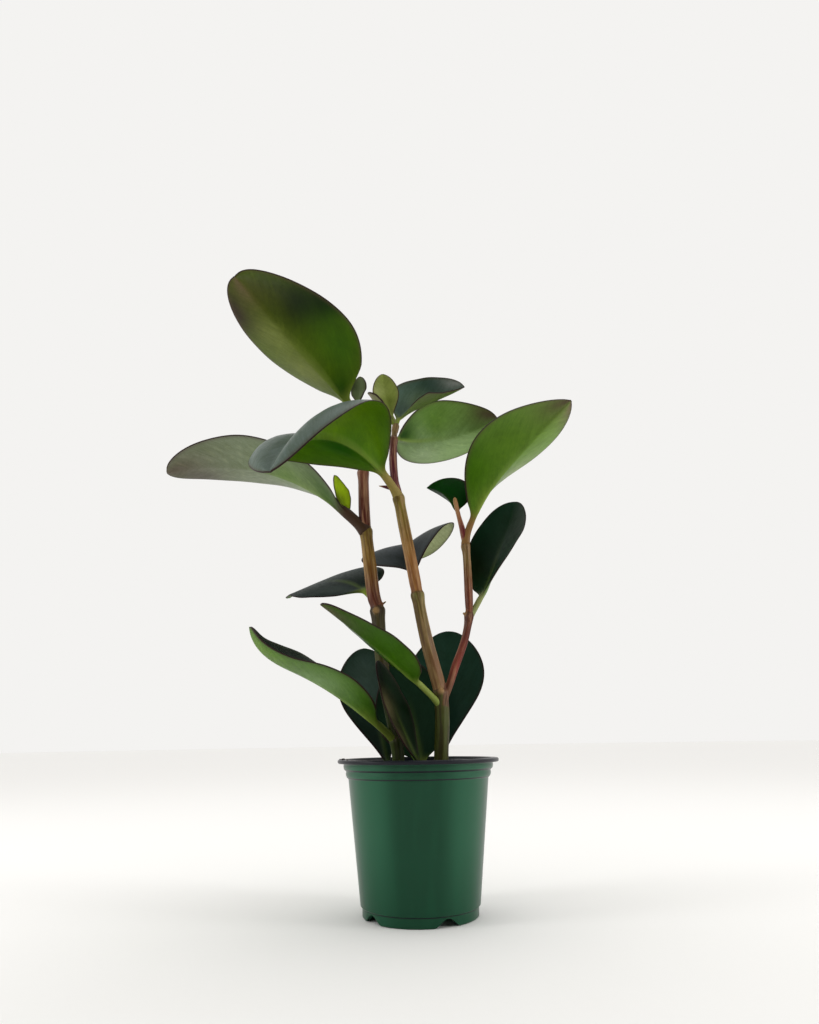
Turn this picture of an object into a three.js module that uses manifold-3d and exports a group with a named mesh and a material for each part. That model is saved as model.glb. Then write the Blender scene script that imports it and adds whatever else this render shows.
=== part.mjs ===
// Peperomia with thick, smooth, red-edged leaves in a 4-inch thermoformed nursery pot.
// Millimetres, +Z up. The origin is the middle of the pot's base, on the surface it stands on.
// +X is to the right and -Y towards somebody who looks at the front of the plant.
import * as THREE from 'three';
import Module from 'manifold-3d';
import { mergeVertices } from 'three/addons/utils/BufferGeometryUtils.js';

const wasm = await Module();
wasm.setup();

// ---------- driving dimensions ----------
const CLEARANCE = 0.3; // between neighbouring pieces

// pot: 4-inch round nursery pot, 3.5 inches tall
const POT_HEIGHT = 88.5;
const POT_WALL = 1.1;
const POT_SIDES = 48;
const LIP_RADIUS = 51;
const LIP_THICKNESS = 2.3;
const UPPER_BAND_RADIUS = 47.2;
const LOWER_BAND_RADIUS = 45.6;
const WALL_TOP = { radius: 44.1, z: 77 };
const HEEL = { radius: 36.1, z: 6.4 };
const FOOT_RADIUS = 34.9;
const FOOT_WIDTH = 2.6;
const FLOOR_Z = 4.2; // underside of the raised floor
const PAD_RADIUS = 9; // flat middle of the floor, down on the surface
const NOTCH_HEIGHT = 4.6;
const NOTCH_WIDTH = 20;
const NOTCH_HEADINGS = [-144, -64, 6, 76, 146]; // degrees from +X, two of them at the front

// soil
const SOIL_TOP = 77.5;
const SOIL_RELIEF = 1.4;
const SOIL_RINGS = 7;

// stems: each point is x, y, z, radius, and 'node' where a leaf or a scar makes a swollen joint
const STEM_SIDES = 10;
const RING_STEP = 10;
const NODE_SWELL = 0.7;
const NODE_REACH = 2.6;
const LEFT_STEM = [
  [-9.5, 5, 56, 4],
  [-12.9, 5, 89.5, 4],
  [-14.1, 5, 100, 4, 'node'],
  [-17.2, 5, 115.5, 3.9],
  [-21.7, 5, 138, 4.2],
  [-24.4, 4.5, 164.5, 4.5],
  [-26, 4, 185, 4.7, 'node'],
  [-28.6, 4, 195, 4.6],
  [-31.2, 4, 216.5, 4.6],
  [-34.1, 3, 241.5, 4.2, 'node'],
  [-35.3, 3, 256, 4.1],
  [-36.3, 2, 286, 3.7, 'node'],
  [-38.2, 2, 302, 3.7],
  [-41.5, 2, 333, 3, 'node'],
  [-42, 2, 338, 2.2],
];
const MIDDLE_STEM = [
  [14, -4, 56, 4.5],
  [14.5, -4, 89, 4.6],
  [15.8, -4, 111.5, 4.7],
  [15, -4, 129, 4.6, 'node'],
  [10.9, -4, 146.5, 4.4],
  [7, -4, 162.5, 4.3],
  [3.4, -4.5, 181, 4.1],
  [1.5, -5, 193.5, 4.1, 'node'],
  [-2.5, -5, 217.5, 4.1],
  [-7, -6, 242.5, 4.1],
  [-10.6, -6, 263, 3.7, 'node'],
  [-13, -6, 275, 2.8],
  [-14.2, -6, 292, 2.9],
  [-13.5, -6, 308, 2.4, 'node'],
  [-12, -6, 318.5, 1.9, 'node'],
  [-11.6, -6, 322, 1.4],
];
const RIGHT_BRANCH = [
  [16, -4, 121, 2.4],
  [20.9, -4, 132.5, 2.4],
  [25.6, -4, 145.5, 2.6],
  [30.4, -4, 157, 2.5],
  [33.4, -4, 166, 2.5],
  [35.9, -4, 179, 2.6, 'node'],
  [36.3, -4, 196, 2.9],
  [36.1, -4, 216, 2.7],
  [35.5, -4, 227.5, 2.6, 'node'],
  [33.8, -4, 239, 2.1],
  [31.8, -5, 247, 1.6],
  [29.4, -6, 259, 1.6],
  [29.1, -6, 262, 0.8],
];

// scars and spurs of lost leaves: where on the stem, heading, rise, how far out, radii
const LEFT_STUBS = [
  { at: [-26.5, 4, 183], heading: -95, rise: 5, reach: 5.8, root: 2.6, end: 2.2 },
  { at: [-26.5, 4, 186], heading: -15, rise: 32, reach: 8, root: 1.5, end: 0.5 },
  { at: [-36.4, 2, 286], heading: -20, rise: 10, reach: 6.2, root: 1.8, end: 0.8 },
];
const MIDDLE_STUBS = [
  { at: [15.2, -4, 129], heading: -85, rise: 10, reach: 6, root: 1.7, end: 1.4 },
];
const BRANCH_STUBS = [
  { at: [35.9, -4, 178.5], heading: -165, rise: 20, reach: 4.6, root: 1.5, end: 0.7 },
];

// leaves: every one has a stalk and a blade along one curved midrib. Angles are in degrees:
// heading is counted from +X towards +Y and turns by swing; rise is the slope at the stem, which
// droop takes away towards the tip (late > 1: mostly near the tip) and tipUp gives back at the
// tip; roll and twist turn the blade about its midrib; fold lifts both halves like an open book,
// and bulge rounds them upwards. A smaller roundTip makes the tip more pointed.
const LEAF_STEPS = 60;
const BLADE_RINGS = 11;
const ACROSS = [-1, -0.72, -0.36, 0, 0.36, 0.72, 1];
const EDGE_THICKNESS = 1;
const BLADE_THICKNESS = 1.3;
const RIB_DEPTH = 1.6;
const LEAF_FORM = {
  swing: 0, droop: 0, late: 1, tipUp: 0, roll: 0, twist: 0,
  fold: 10, bulge: 0, widest: 0.5, roundTip: 0.55, stalkRadius: 2.3,
};
const LEAVES = [
  {
    name: 'leaf_top_left', stem: 'left', at: [-41.5, 2, 333], colour: 0x55702c,
    heading: 224, swing: 18, rise: 35, droop: 23, late: 0.95, roll: 5, twist: 30,
    stalk: 8, length: 123, width: 80, fold: 33, widest: 0.4, stalkRadius: 2.8,
  },
  {
    name: 'leaf_left_long', stem: 'left', at: [-34.1, 3, 240.5], colour: 0x6f8064,
    heading: 188, swing: -5, rise: 47, droop: 65, late: 1.14, roll: -11, twist: 38,
    stalk: 18, length: 138, width: 64, fold: 13, widest: 0.45, stalkRadius: 3.8,
  },
  {
    name: 'leaf_front_arching', stem: 'middle', at: [-10.6, -6, 263], colour: 0x4f8a1e,
    heading: 233, swing: 4, rise: 43, droop: 106, late: 1.05, roll: 20, twist: -18,
    stalk: 16, length: 128, width: 91, fold: 5, bulge: 0.2, widest: 0.55, stalkRadius: 2.9,
  },
  {
    name: 'leaf_top_right', stem: 'middle', at: [-12.2, -6, 318.5], colour: 0x27443a,
    heading: 60, swing: -96, rise: 74, droop: 64, late: 0.48, roll: 17, twist: 59,
    stalk: 5, length: 65, width: 45, fold: 44, widest: 0.39, stalkRadius: 1.6,
  },
  {
    name: 'leaf_right_middle', stem: 'middle', at: [-13.5, -6, 308.5], colour: 0x5c8a3a,
    heading: 85, swing: -123, rise: 19, droop: 6, late: 1.03, roll: -67, twist: 31,
    stalk: 6, length: 106, width: 60, fold: 29, widest: 0.57, stalkRadius: 1.8,
  },
  {
    name: 'leaf_right_high', stem: 'middle', at: [35.5, -4, 228], colour: 0x55853a,
    heading: 1, swing: -47, rise: 87, droop: 61, late: 0.54, roll: -19, twist: -29,
    stalk: 14, length: 114, width: 68, fold: 48, widest: 0.54, roundTip: 0.3, stalkRadius: 2.3,
  },
  {
    name: 'leaf_right_small', stem: 'middle', at: [33.5, -4, 240], colour: 0x1d4a1a,
    heading: 131, swing: 4, rise: 78, droop: 65, late: 1.3, roll: 86, twist: -15,
    stalk: 12, length: 42, width: 36, fold: 52, widest: 0.46, stalkRadius: 1.4,
  },
  {
    name: 'leaf_right_dark', stem: 'middle', at: [35.9, -4, 178], colour: 0x16301f,
    heading: 47, swing: -8, rise: 30, droop: -38, late: 0.3, roll: -29, twist: 46,
    stalk: 17, length: 93, width: 56, fold: 17, stalkRadius: 2,
  },
  {
    name: 'leaf_back_middle', stem: 'middle', at: [1.5, -5, 192.5], colour: 0x47605c,
    heading: 109, swing: -30, rise: 73, droop: 100, late: 1.26, roll: -60, twist: 60,
    stalk: 12, length: 96, width: 76, fold: 2, bulge: 0.06, widest: 0.62, stalkRadius: 2,
  },
  {
    name: 'leaf_back_left', stem: 'left', at: [-26, 4, 186], colour: 0x2d4440,
    heading: 123, swing: 28, rise: 49, droop: 73, roll: -28, twist: 4,
    stalk: 19, length: 90, width: 77, fold: 0, widest: 0.45, stalkRadius: 2,
  },
  {
    name: 'leaf_front_pointed', stem: 'middle', at: [14.5, -5, 121], colour: 0x3f7a2a,
    heading: 225, swing: -16, rise: 38, droop: 7, late: 0.31, roll: -7, twist: -2,
    stalk: 21, length: 85, width: 48, fold: 12, widest: 0.45, stalkRadius: 1.9,
  },
  {
    name: 'leaf_low_left', stem: 'left', at: [-14, 5, 99], colour: 0x6a8f45,
    heading: 210, rise: 39, droop: 33, late: 1.41, tipUp: 77, roll: 5, twist: -33,
    stalk: 14, length: 110, width: 48, fold: 28, widest: 0.46, stalkRadius: 2.5,
  },
  {
    name: 'leaf_low_round_left', stem: 'soil', at: [-15, 12, 71], colour: 0x16301f,
    heading: 125, swing: -12, rise: 59, droop: -9, roll: -5,
    stalk: 9, length: 96, width: 51, fold: 5, widest: 0.62, stalkRadius: 1.9,
  },
  {
    name: 'leaf_low_round_right', stem: 'soil', at: [15.5, 7, 71], colour: 0x14301f,
    heading: 78, rise: 69, twist: -4,
    stalk: 16, length: 96, width: 56, fold: 8, widest: 0.62, stalkRadius: 2.2,
  },
  {
    name: 'leaf_low_narrow', stem: 'soil', at: [8, -9, 71], colour: 0x1c3a2b,
    heading: 182, rise: 62, droop: -10, roll: -31, twist: -4,
    stalk: 14, length: 71, width: 27, fold: 11, widest: 0.52, stalkRadius: 1.9,
  },
  {
    name: 'leaf_low_middle', stem: 'soil', at: [6, 11, 71], colour: 0x1a3527,
    heading: 150, rise: 77, roll: -58,
    stalk: 12, length: 74, width: 50, fold: 4, widest: 0.48, stalkRadius: 1.9,
  },
  {
    name: 'tip_leaf_left', stem: 'left', at: [-42, 3, 334], colour: 0x2c4a3c, clearOf: 'leaf_top_left',
    heading: 38, swing: 4, rise: 78, droop: -14, roll: 13, twist: 5,
    stalk: 6, length: 25, width: 15, fold: 7, widest: 0.58, stalkRadius: 1.3,
  },
  {
    name: 'axil_leaf', stem: 'left', at: [-34.1, 4, 242.5], colour: 0x8fae1c, clearOf: 'leaf_left_long',
    heading: 189, swing: 18, rise: 33, droop: -51, late: 0.93, roll: -74, twist: 9,
    stalk: 15, length: 32, width: 16, fold: 33, widest: 0.51, stalkRadius: 1.2,
  },
  {
    name: 'bud_leaf_front', stem: 'middle', at: [-12, -6, 318], colour: 0x9cb45c, clearOf: 'leaf_top_right',
    heading: 190, swing: 1, rise: 69, droop: -16, roll: -97, twist: 1,
    stalk: 6, length: 37, width: 20, fold: 15, widest: 0.56, stalkRadius: 1.3,
  },
  {
    name: 'bud_leaf_side', stem: 'middle', at: [-12, -6, 317], colour: 0x6f8b5c, clearOf: 'bud_leaf_front',
    heading: 194, swing: 1, rise: 56, droop: 8, roll: 2,
    stalk: 7, length: 26, width: 11, fold: 25, widest: 0.58, stalkRadius: 1.1,
  },
];

// ---------- shared helpers ----------
const rad = THREE.MathUtils.degToRad;

function toSolid(geometry) {
  const bare = geometry.clone();
  bare.deleteAttribute('normal');
  bare.deleteAttribute('uv');
  const merged = mergeVertices(bare, 1e-4);
  const triVerts = [];
  for (let i = 0; i < merged.index.count; i += 3) {
    const [a, b, c] = [0, 1, 2].map((k) => merged.index.getX(i + k));
    if (a !== b && b !== c && c !== a) triVerts.push(a, b, c);
  }
  const vertProperties = new Float32Array(merged.attributes.position.array);
  return new wasm.Manifold(
    new wasm.Mesh({ numProp: 3, vertProperties, triVerts: new Uint32Array(triVerts) }),
  );
}

function toGeometry(solid) {
  const { vertProperties, triVerts } = solid.getMesh();
  const geometry = new THREE.BufferGeometry();
  geometry.setAttribute('position', new THREE.BufferAttribute(vertProperties, 3));
  geometry.setIndex(new THREE.BufferAttribute(triVerts, 1));
  geometry.computeVertexNormals();
  return geometry;
}

// a closed body through rings of equal point count, with a fan over each end
function loft(rings) {
  const count = rings[0].length;
  const points = rings.flat();
  const index = [];
  for (let r = 0; r + 1 < rings.length; r += 1) {
    for (let i = 0; i < count; i += 1) {
      const next = (i + 1) % count;
      const [a, b] = [r * count + i, r * count + next];
      const [c, d] = [a + count, b + count];
      index.push(a, b, d, a, d, c);
    }
  }
  const middle = (ring) => ring.reduce((sum, p) => sum.add(p), new THREE.Vector3()).divideScalar(count);
  const [first, last] = [points.length, points.length + 1];
  const lastRing = (rings.length - 1) * count;
  points.push(middle(rings[0]), middle(rings.at(-1)));
  for (let i = 0; i < count; i += 1) {
    const next = (i + 1) % count;
    index.push(first, next, i, last, lastRing + i, lastRing + next);
  }
  const geometry = new THREE.BufferGeometry().setFromPoints(points);
  geometry.setIndex(index);
  return geometry;
}

function direction(heading, rise) {
  const [h, e] = [rad(heading), rad(rise)];
  return new THREE.Vector3(Math.cos(h) * Math.cos(e), Math.sin(h) * Math.cos(e), Math.sin(e));
}

function piece(name, geometry, colour, roughness) {
  const material = new THREE.MeshStandardMaterial({ color: colour, roughness, metalness: 0 });
  const mesh = new THREE.Mesh(geometry, material);
  mesh.name = name;
  return mesh;
}

// ---------- pot ----------
function lathe(profile, sides) {
  const points = profile.map(([radius, z]) => new THREE.Vector2(radius, z));
  return new THREE.LatheGeometry([...points, points[0]], sides).rotateX(Math.PI / 2);
}

function wallRadius(z) {
  const slope = (WALL_TOP.radius - HEEL.radius) / (WALL_TOP.z - HEEL.z);
  return HEEL.radius + slope * (z - HEEL.z);
}

function potBody() {
  const lipUnder = POT_HEIGHT - LIP_THICKNESS;
  const footInner = FOOT_RADIUS - FOOT_WIDTH;
  const outside = [
    [0, 0], [PAD_RADIUS, 0], [PAD_RADIUS + 2, FLOOR_Z], [footInner - 1.2, FLOOR_Z], [footInner, 0],
    [FOOT_RADIUS - 0.7, 0], [FOOT_RADIUS, 0.7], [FOOT_RADIUS + 0.1, HEEL.z - 0.9],
    [HEEL.radius, HEEL.z], [WALL_TOP.radius, WALL_TOP.z],
    [LOWER_BAND_RADIUS - 0.5, WALL_TOP.z + 1], [LOWER_BAND_RADIUS, WALL_TOP.z + 1.9],
    [LOWER_BAND_RADIUS + 0.1, WALL_TOP.z + 4.4], [UPPER_BAND_RADIUS - 0.7, WALL_TOP.z + 5.3],
    [UPPER_BAND_RADIUS, WALL_TOP.z + 6.4], [UPPER_BAND_RADIUS + 0.1, lipUnder - 0.4],
    [UPPER_BAND_RADIUS + 1, lipUnder], [LIP_RADIUS - 0.5, lipUnder],
    [LIP_RADIUS, lipUnder + 0.6], [LIP_RADIUS, POT_HEIGHT - 0.6], [LIP_RADIUS - 0.6, POT_HEIGHT],
    [UPPER_BAND_RADIUS - 0.4, POT_HEIGHT],
  ];
  const inside = [
    [UPPER_BAND_RADIUS - POT_WALL, POT_HEIGHT - 1], [UPPER_BAND_RADIUS - POT_WALL, WALL_TOP.z + 6.4],
    [LOWER_BAND_RADIUS - POT_WALL, WALL_TOP.z + 4.6], [LOWER_BAND_RADIUS - POT_WALL, WALL_TOP.z + 1.9],
    [WALL_TOP.radius - POT_WALL, WALL_TOP.z], [HEEL.radius - POT_WALL, HEEL.z + POT_WALL],
    [HEEL.radius - POT_WALL - 0.6, FLOOR_Z + POT_WALL], [0, FLOOR_Z + POT_WALL],
  ];
  return toSolid(lathe([...outside, ...inside], POT_SIDES));
}

// one drain notch: an arch through the foot ring, which opens the corner of the floor
function notch(heading) {
  const arch = new THREE.Shape();
  const half = NOTCH_WIDTH / 2;
  arch.moveTo(-half, -1);
  arch.bezierCurveTo(-half * 0.55, 0, -half * 0.5, NOTCH_HEIGHT, 0, NOTCH_HEIGHT);
  arch.bezierCurveTo(half * 0.5, NOTCH_HEIGHT, half * 0.55, 0, half, -1);
  const depth = FOOT_WIDTH + 6;
  const cutter = new THREE.ExtrudeGeometry(arch, { depth, bevelEnabled: false, curveSegments: 5 });
  cutter.rotateX(Math.PI / 2);
  cutter.translate(0, FOOT_RADIUS + 3, 0);
  cutter.rotateZ(rad(heading - 90));
  return toSolid(cutter);
}

let pot = potBody();
NOTCH_HEADINGS.forEach((heading) => {
  pot = pot.subtract(notch(heading));
});

// ---------- stems ----------
function stemBody(points, grow) {
  const curve = new THREE.CatmullRomCurve3(points.map(([x, y, z]) => new THREE.Vector3(x, y, z)));
  const last = points.length - 1;
  const nodes = points.flatMap((point, i) => (point[4] === 'node' ? [i / last] : []));
  const steps = [];
  for (let i = 0; i < last; i += 1) {
    const rise = points[i + 1][2] - points[i][2];
    const parts = Math.max(1, Math.round(rise / RING_STEP));
    const near = Math.min(0.4, (2 * NODE_REACH) / rise);
    const inner = Array.from({ length: parts - 1 }, (_, k) => (k + 1) / parts);
    const swell = [points[i][4] ? near : 0, points[i + 1][4] ? 1 - near : 0].filter((s) => s > 0);
    const kept = inner.filter((s) => swell.every((w) => Math.abs(w - s) > 0.12));
    [0, ...kept, ...swell].sort((a, b) => a - b).forEach((s) => steps.push((i + s) / last));
  }
  steps.push(1);
  const rings = steps.map((t) => {
    const along = curve.getTangent(t);
    const past = (t === 1) - (t === 0);
    const centre = curve.getPoint(t).addScaledVector(along, past * grow);
    const side = new THREE.Vector3(0, 1, 0).cross(along).normalize();
    const front = along.clone().cross(side);
    const i = Math.min(last - 1, Math.floor(t * last));
    const radius = THREE.MathUtils.lerp(points[i][3], points[i + 1][3], t * last - i);
    const closest = Math.min(...nodes.map((node) => centre.distanceTo(curve.getPoint(node))), 99);
    const full = radius + NODE_SWELL * Math.exp(-((closest / NODE_REACH) ** 2)) + grow;
    return Array.from({ length: STEM_SIDES }, (_, k) => {
      const angle = (k / STEM_SIDES) * 2 * Math.PI;
      const out = side.clone().multiplyScalar(Math.cos(angle)).addScaledVector(front, Math.sin(angle));
      return centre.clone().addScaledVector(out, full);
    });
  });
  return toSolid(loft(rings));
}

function stub({ at, heading, rise, reach, root, end }, grow) {
  const cone = new THREE.CylinderGeometry(end + grow, root + grow, reach + grow, 8);
  cone.translate(0, (reach + grow) / 2, 0);
  const turn = new THREE.Quaternion().setFromUnitVectors(
    new THREE.Vector3(0, 1, 0),
    direction(heading, rise),
  );
  cone.applyQuaternion(turn);
  cone.translate(...at);
  return toSolid(cone);
}

function leftStem(grow) {
  return LEFT_STUBS.reduce((body, s) => body.add(stub(s, grow)), stemBody(LEFT_STEM, grow));
}

function middleStem(grow) {
  const forked = stemBody(MIDDLE_STEM, grow).add(stemBody(RIGHT_BRANCH, grow));
  return [...MIDDLE_STUBS, ...BRANCH_STUBS].reduce((body, s) => body.add(stub(s, grow)), forked);
}

const holes = { left: leftStem(CLEARANCE), middle: middleStem(CLEARANCE) };

// ---------- leaves ----------
// half width of a blade, as a share of its greatest: pointed at the stalk and round at the tip
function bladeShare(leaf, s) {
  if (s <= 0) return 0;
  const stretched = s ** (Math.log(0.5) / Math.log(leaf.widest));
  return Math.sin(Math.PI * Math.min(stretched, 1)) ** (1.1 - leaf.roundTip * stretched);
}

// midrib of a leaf: place, direction, upper side and right-hand side at equal steps
function midrib(leaf) {
  const total = leaf.stalk + leaf.length;
  const place = new THREE.Vector3(...leaf.at);
  const steps = [];
  let before = null;
  for (let i = 0; i <= LEAF_STEPS; i += 1) {
    const t = i / LEAF_STEPS;
    const lift = Math.max(0, (t - 0.65) / 0.35) ** 2;
    const rise = leaf.rise - leaf.droop * t ** leaf.late + leaf.tipUp * lift;
    const heading = leaf.heading + leaf.swing * t;
    const along = direction(heading, rise);
    if (before) place.addScaledVector(before.clone().add(along), total / LEAF_STEPS / 2);
    const upper = direction(heading, rise + 90).applyAxisAngle(along, rad(leaf.roll + leaf.twist * t));
    steps.push({ place: place.clone(), upper, right: along.clone().cross(upper) });
    before = along;
  }
  return (t) => {
    const i = Math.min(LEAF_STEPS - 1, Math.floor(t * LEAF_STEPS));
    const share = t * LEAF_STEPS - i;
    const mix = (key) => steps[i][key].clone().lerp(steps[i + 1][key], share);
    return { place: mix('place'), upper: mix('upper').normalize(), right: mix('right').normalize() };
  };
}

function leafRing(leaf, at, s, grow) {
  const radius = leaf.stalkRadius * (1 - 0.45 * Math.max(s, 0)) + grow;
  const half = Math.max((leaf.width / 2) * bladeShare(leaf, s), 0.9) + grow;
  const flat = THREE.MathUtils.smoothstep(s, 0, 0.14);
  const [foldCos, foldSin] = [Math.cos(rad(leaf.fold)), Math.sin(rad(leaf.fold))];
  const last = ACROSS.length - 1;
  const point = (u, j, side) => {
    const angle = Math.PI * (1 - (j + 0.5) / (last + 1)) * side;
    const rib = RIB_DEPTH * (1 - s) * Math.exp(-((u / 0.2) ** 2));
    const thick = THREE.MathUtils.lerp(BLADE_THICKNESS, EDGE_THICKNESS, Math.abs(u)) + rib;
    const face = side > 0 ? grow : -thick - grow;
    const rounded = foldSin * Math.abs(u) ** 1.3 + leaf.bulge * Math.sin(Math.PI * Math.abs(u));
    const lift = half * rounded + face;
    const across = THREE.MathUtils.lerp(radius * Math.cos(angle), half * foldCos * u, flat);
    const up = THREE.MathUtils.lerp(radius * Math.sin(angle), lift, flat);
    return at.place.clone().addScaledVector(at.right, across).addScaledVector(at.upper, up);
  };
  const top = ACROSS.map((u, j) => point(u, j, 1));
  const bottom = ACROSS.map((u, j) => point(u, j, -1));
  return { top, bottom };
}

// both faces of a blade are split along the same diagonals, so that a curved blade keeps its
// thickness everywhere
function leafBody(leaf, grow) {
  const rib = midrib(leaf);
  const total = leaf.stalk + leaf.length;
  const stalk = [0, 0.35, 0.7].map((part) => ({ t: (part * leaf.stalk) / total, s: 0 }));
  const blade = Array.from({ length: BLADE_RINGS + 1 }, (_, i) => {
    const s = (1 - Math.cos((Math.PI * i) / BLADE_RINGS)) / 2;
    return { t: (leaf.stalk + s * leaf.length) / total, s };
  });
  const rings = [...stalk, ...blade].map(({ t, s }) => leafRing(leaf, rib(t), s, grow));
  const back = direction(leaf.heading, leaf.rise).multiplyScalar(-grow);
  [...rings[0].top, ...rings[0].bottom].forEach((corner) => corner.add(back));
  const width = ACROSS.length;
  const points = rings.flatMap(({ top, bottom }) => [...top, ...bottom]);
  const index = [];
  const quad = (a, b, c, d) => index.push(a, b, d, a, d, c);
  for (let r = 0; r + 1 < rings.length; r += 1) {
    const here = r * 2 * width;
    const there = here + 2 * width;
    for (let j = 0; j + 1 < width; j += 1) {
      quad(here + j, here + j + 1, there + j, there + j + 1);
      const [a, b] = [here + width + j, here + width + j + 1];
      index.push(a, b + 2 * width, b, a, a + 2 * width, b + 2 * width);
    }
    quad(here + width, here, there + width, there);
    quad(here + width - 1, here + 2 * width - 1, there + width - 1, there + 2 * width - 1);
  }
  const end = (rings.length - 1) * 2 * width;
  for (let j = 0; j + 1 < width; j += 1) {
    index.push(j, width + j, width + j + 1, j, width + j + 1, j + 1);
    const [a, b] = [end + j, end + width + j];
    index.push(a, b + 1, b, a, a + 1, b + 1);
  }
  const geometry = new THREE.BufferGeometry().setFromPoints(points);
  geometry.setIndex(index);
  return toSolid(geometry);
}

function grownLeaf(name) {
  return leafBody({ ...LEAF_FORM, ...LEAVES.find((row) => row.name === name) }, CLEARANCE);
}

const leafPieces = LEAVES.map((row) => {
  const leaf = { ...LEAF_FORM, ...row };
  let body = leafBody(leaf, 0);
  if (leaf.stem !== 'soil') body = body.subtract(holes[leaf.stem]);
  if (leaf.clearOf) body = body.subtract(grownLeaf(leaf.clearOf));
  return piece(leaf.name, toGeometry(body), leaf.colour, 0.35);
});

// ---------- soil ----------
function soilRelief(x, y) {
  const coarse = Math.sin(0.21 * x + 1.3) * Math.cos(0.18 * y - 0.4);
  const fine = 0.6 * Math.sin(0.47 * x - 0.52 * y) * Math.cos(0.39 * x + 0.31 * y + 2);
  return SOIL_RELIEF * (coarse + fine);
}

function soilBody() {
  const inner = POT_WALL + CLEARANCE + 0.1;
  const bottom = FLOOR_Z + POT_WALL + CLEARANCE;
  const edge = wallRadius(WALL_TOP.z) - inner;
  const top = Array.from({ length: SOIL_RINGS }, (_, i) => [edge * (1 - i / SOIL_RINGS), SOIL_TOP]);
  const profile = [
    [0, bottom], [HEEL.radius - inner - 1.2, bottom], [HEEL.radius - inner, HEEL.z + 2],
    [edge, WALL_TOP.z], ...top, [0, SOIL_TOP],
  ];
  const geometry = lathe(profile, POT_SIDES / 2);
  const position = geometry.attributes.position;
  for (let i = 0; i < position.count; i += 1) {
    if (position.getZ(i) > SOIL_TOP - 0.01) {
      position.setZ(i, SOIL_TOP + soilRelief(position.getX(i), position.getY(i)));
    }
  }
  return toSolid(geometry);
}

let soil = soilBody().subtract(holes.left).subtract(holes.middle);
LEAVES.filter((row) => row.stem === 'soil').forEach((row) => {
  soil = soil.subtract(grownLeaf(row.name));
});

// ---------- plant in its pot ----------
const group = new THREE.Group();
group.add(
  piece('pot', toGeometry(pot), 0x2e5a45, 0.45),
  piece('soil', toGeometry(soil), 0x2b211b, 0.95),
  piece('stem_left', toGeometry(leftStem(0)), 0x8a7a3c, 0.5),
  piece('stem_middle', toGeometry(middleStem(0)), 0x93833f, 0.5),
  ...leafPieces,
);

export default group;
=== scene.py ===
"""A thick-leaved, red-edged peperomia in a green nursery pot, with the studio it stands in.

Sizes in the tables are millimetres, +Z up, with the origin under the middle of the pot. +X is
to the right and -Y towards the viewer. Everything is in metres once it is a mesh.
"""

import math
import random

import bmesh
import bpy
from bpy.props import FloatProperty, FloatVectorProperty, IntProperty, PointerProperty
from mathutils import Matrix, Vector, noise
from mathutils.kdtree import KDTree


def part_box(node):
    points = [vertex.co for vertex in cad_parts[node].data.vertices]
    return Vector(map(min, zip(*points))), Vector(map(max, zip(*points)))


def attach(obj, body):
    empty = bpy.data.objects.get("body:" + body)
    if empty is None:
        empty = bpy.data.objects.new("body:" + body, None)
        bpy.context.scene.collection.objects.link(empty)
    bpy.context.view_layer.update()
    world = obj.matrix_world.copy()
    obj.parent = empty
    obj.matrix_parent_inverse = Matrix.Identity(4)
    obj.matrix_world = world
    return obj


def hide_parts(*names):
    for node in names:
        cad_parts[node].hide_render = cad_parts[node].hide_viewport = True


bl_info = {
    "name": "Potted Peperomia",
    "version": (1, 0, 0),
    "blender": (4, 5, 0),
    "location": "3D View > Sidebar > Peperomia",
    "description": "Builds a thick-leaved peperomia in a nursery pot, ready for its portrait",
    "category": "Object",
}

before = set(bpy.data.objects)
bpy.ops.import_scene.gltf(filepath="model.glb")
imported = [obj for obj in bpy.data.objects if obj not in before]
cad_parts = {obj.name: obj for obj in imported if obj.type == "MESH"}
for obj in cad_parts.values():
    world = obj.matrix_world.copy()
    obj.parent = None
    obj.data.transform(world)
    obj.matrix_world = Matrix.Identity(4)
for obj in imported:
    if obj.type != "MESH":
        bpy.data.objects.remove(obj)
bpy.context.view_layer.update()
MM = 0.001
UP = Vector((0, 0, 1))


def linear(hex_colour):
    """An sRGB hex colour as linear red, green and blue."""
    parts = [int(hex_colour[i : i + 2], 16) / 255 for i in (1, 3, 5)]
    return tuple(c / 12.92 if c <= 0.04045 else ((c + 0.055) / 1.055) ** 2.4 for c in parts)


# ---------------------------------------------------------------- stems
# x, y, z, radius, colour, and a node where a leaf or a scar sits
LEFT_STEM = (
    (-9.5, 5, 56, 4, "#32400F"),
    (-12.9, 5, 89.5, 4, "#32400F"),
    (-14.1, 5, 100, 4, "#343F12", "node"),
    (-17.2, 5, 115.5, 3.9, "#384416"),
    (-21.7, 5, 138, 4.2, "#4C5020"),
    (-24.4, 4.5, 164.5, 4.5, "#4E4A22"),
    (-26, 4, 185, 4.7, "#45402A", "node"),
    (-28.6, 4, 195, 4.6, "#6B3C28"),
    (-31.2, 4, 216.5, 4.6, "#8A6A2C"),
    (-34.1, 3, 241.5, 4.2, "#6F6026", "node"),
    (-35.3, 3, 256, 4.1, "#5A2D22"),
    (-36.3, 2, 286, 3.7, "#8E5E48", "node"),
    (-38.2, 2, 302, 3.7, "#8E5E48"),
    (-41.5, 2, 333, 3, "#5A4A24", "node"),
    (-42, 2, 338, 2.2, "#4A4E24"),
)
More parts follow.
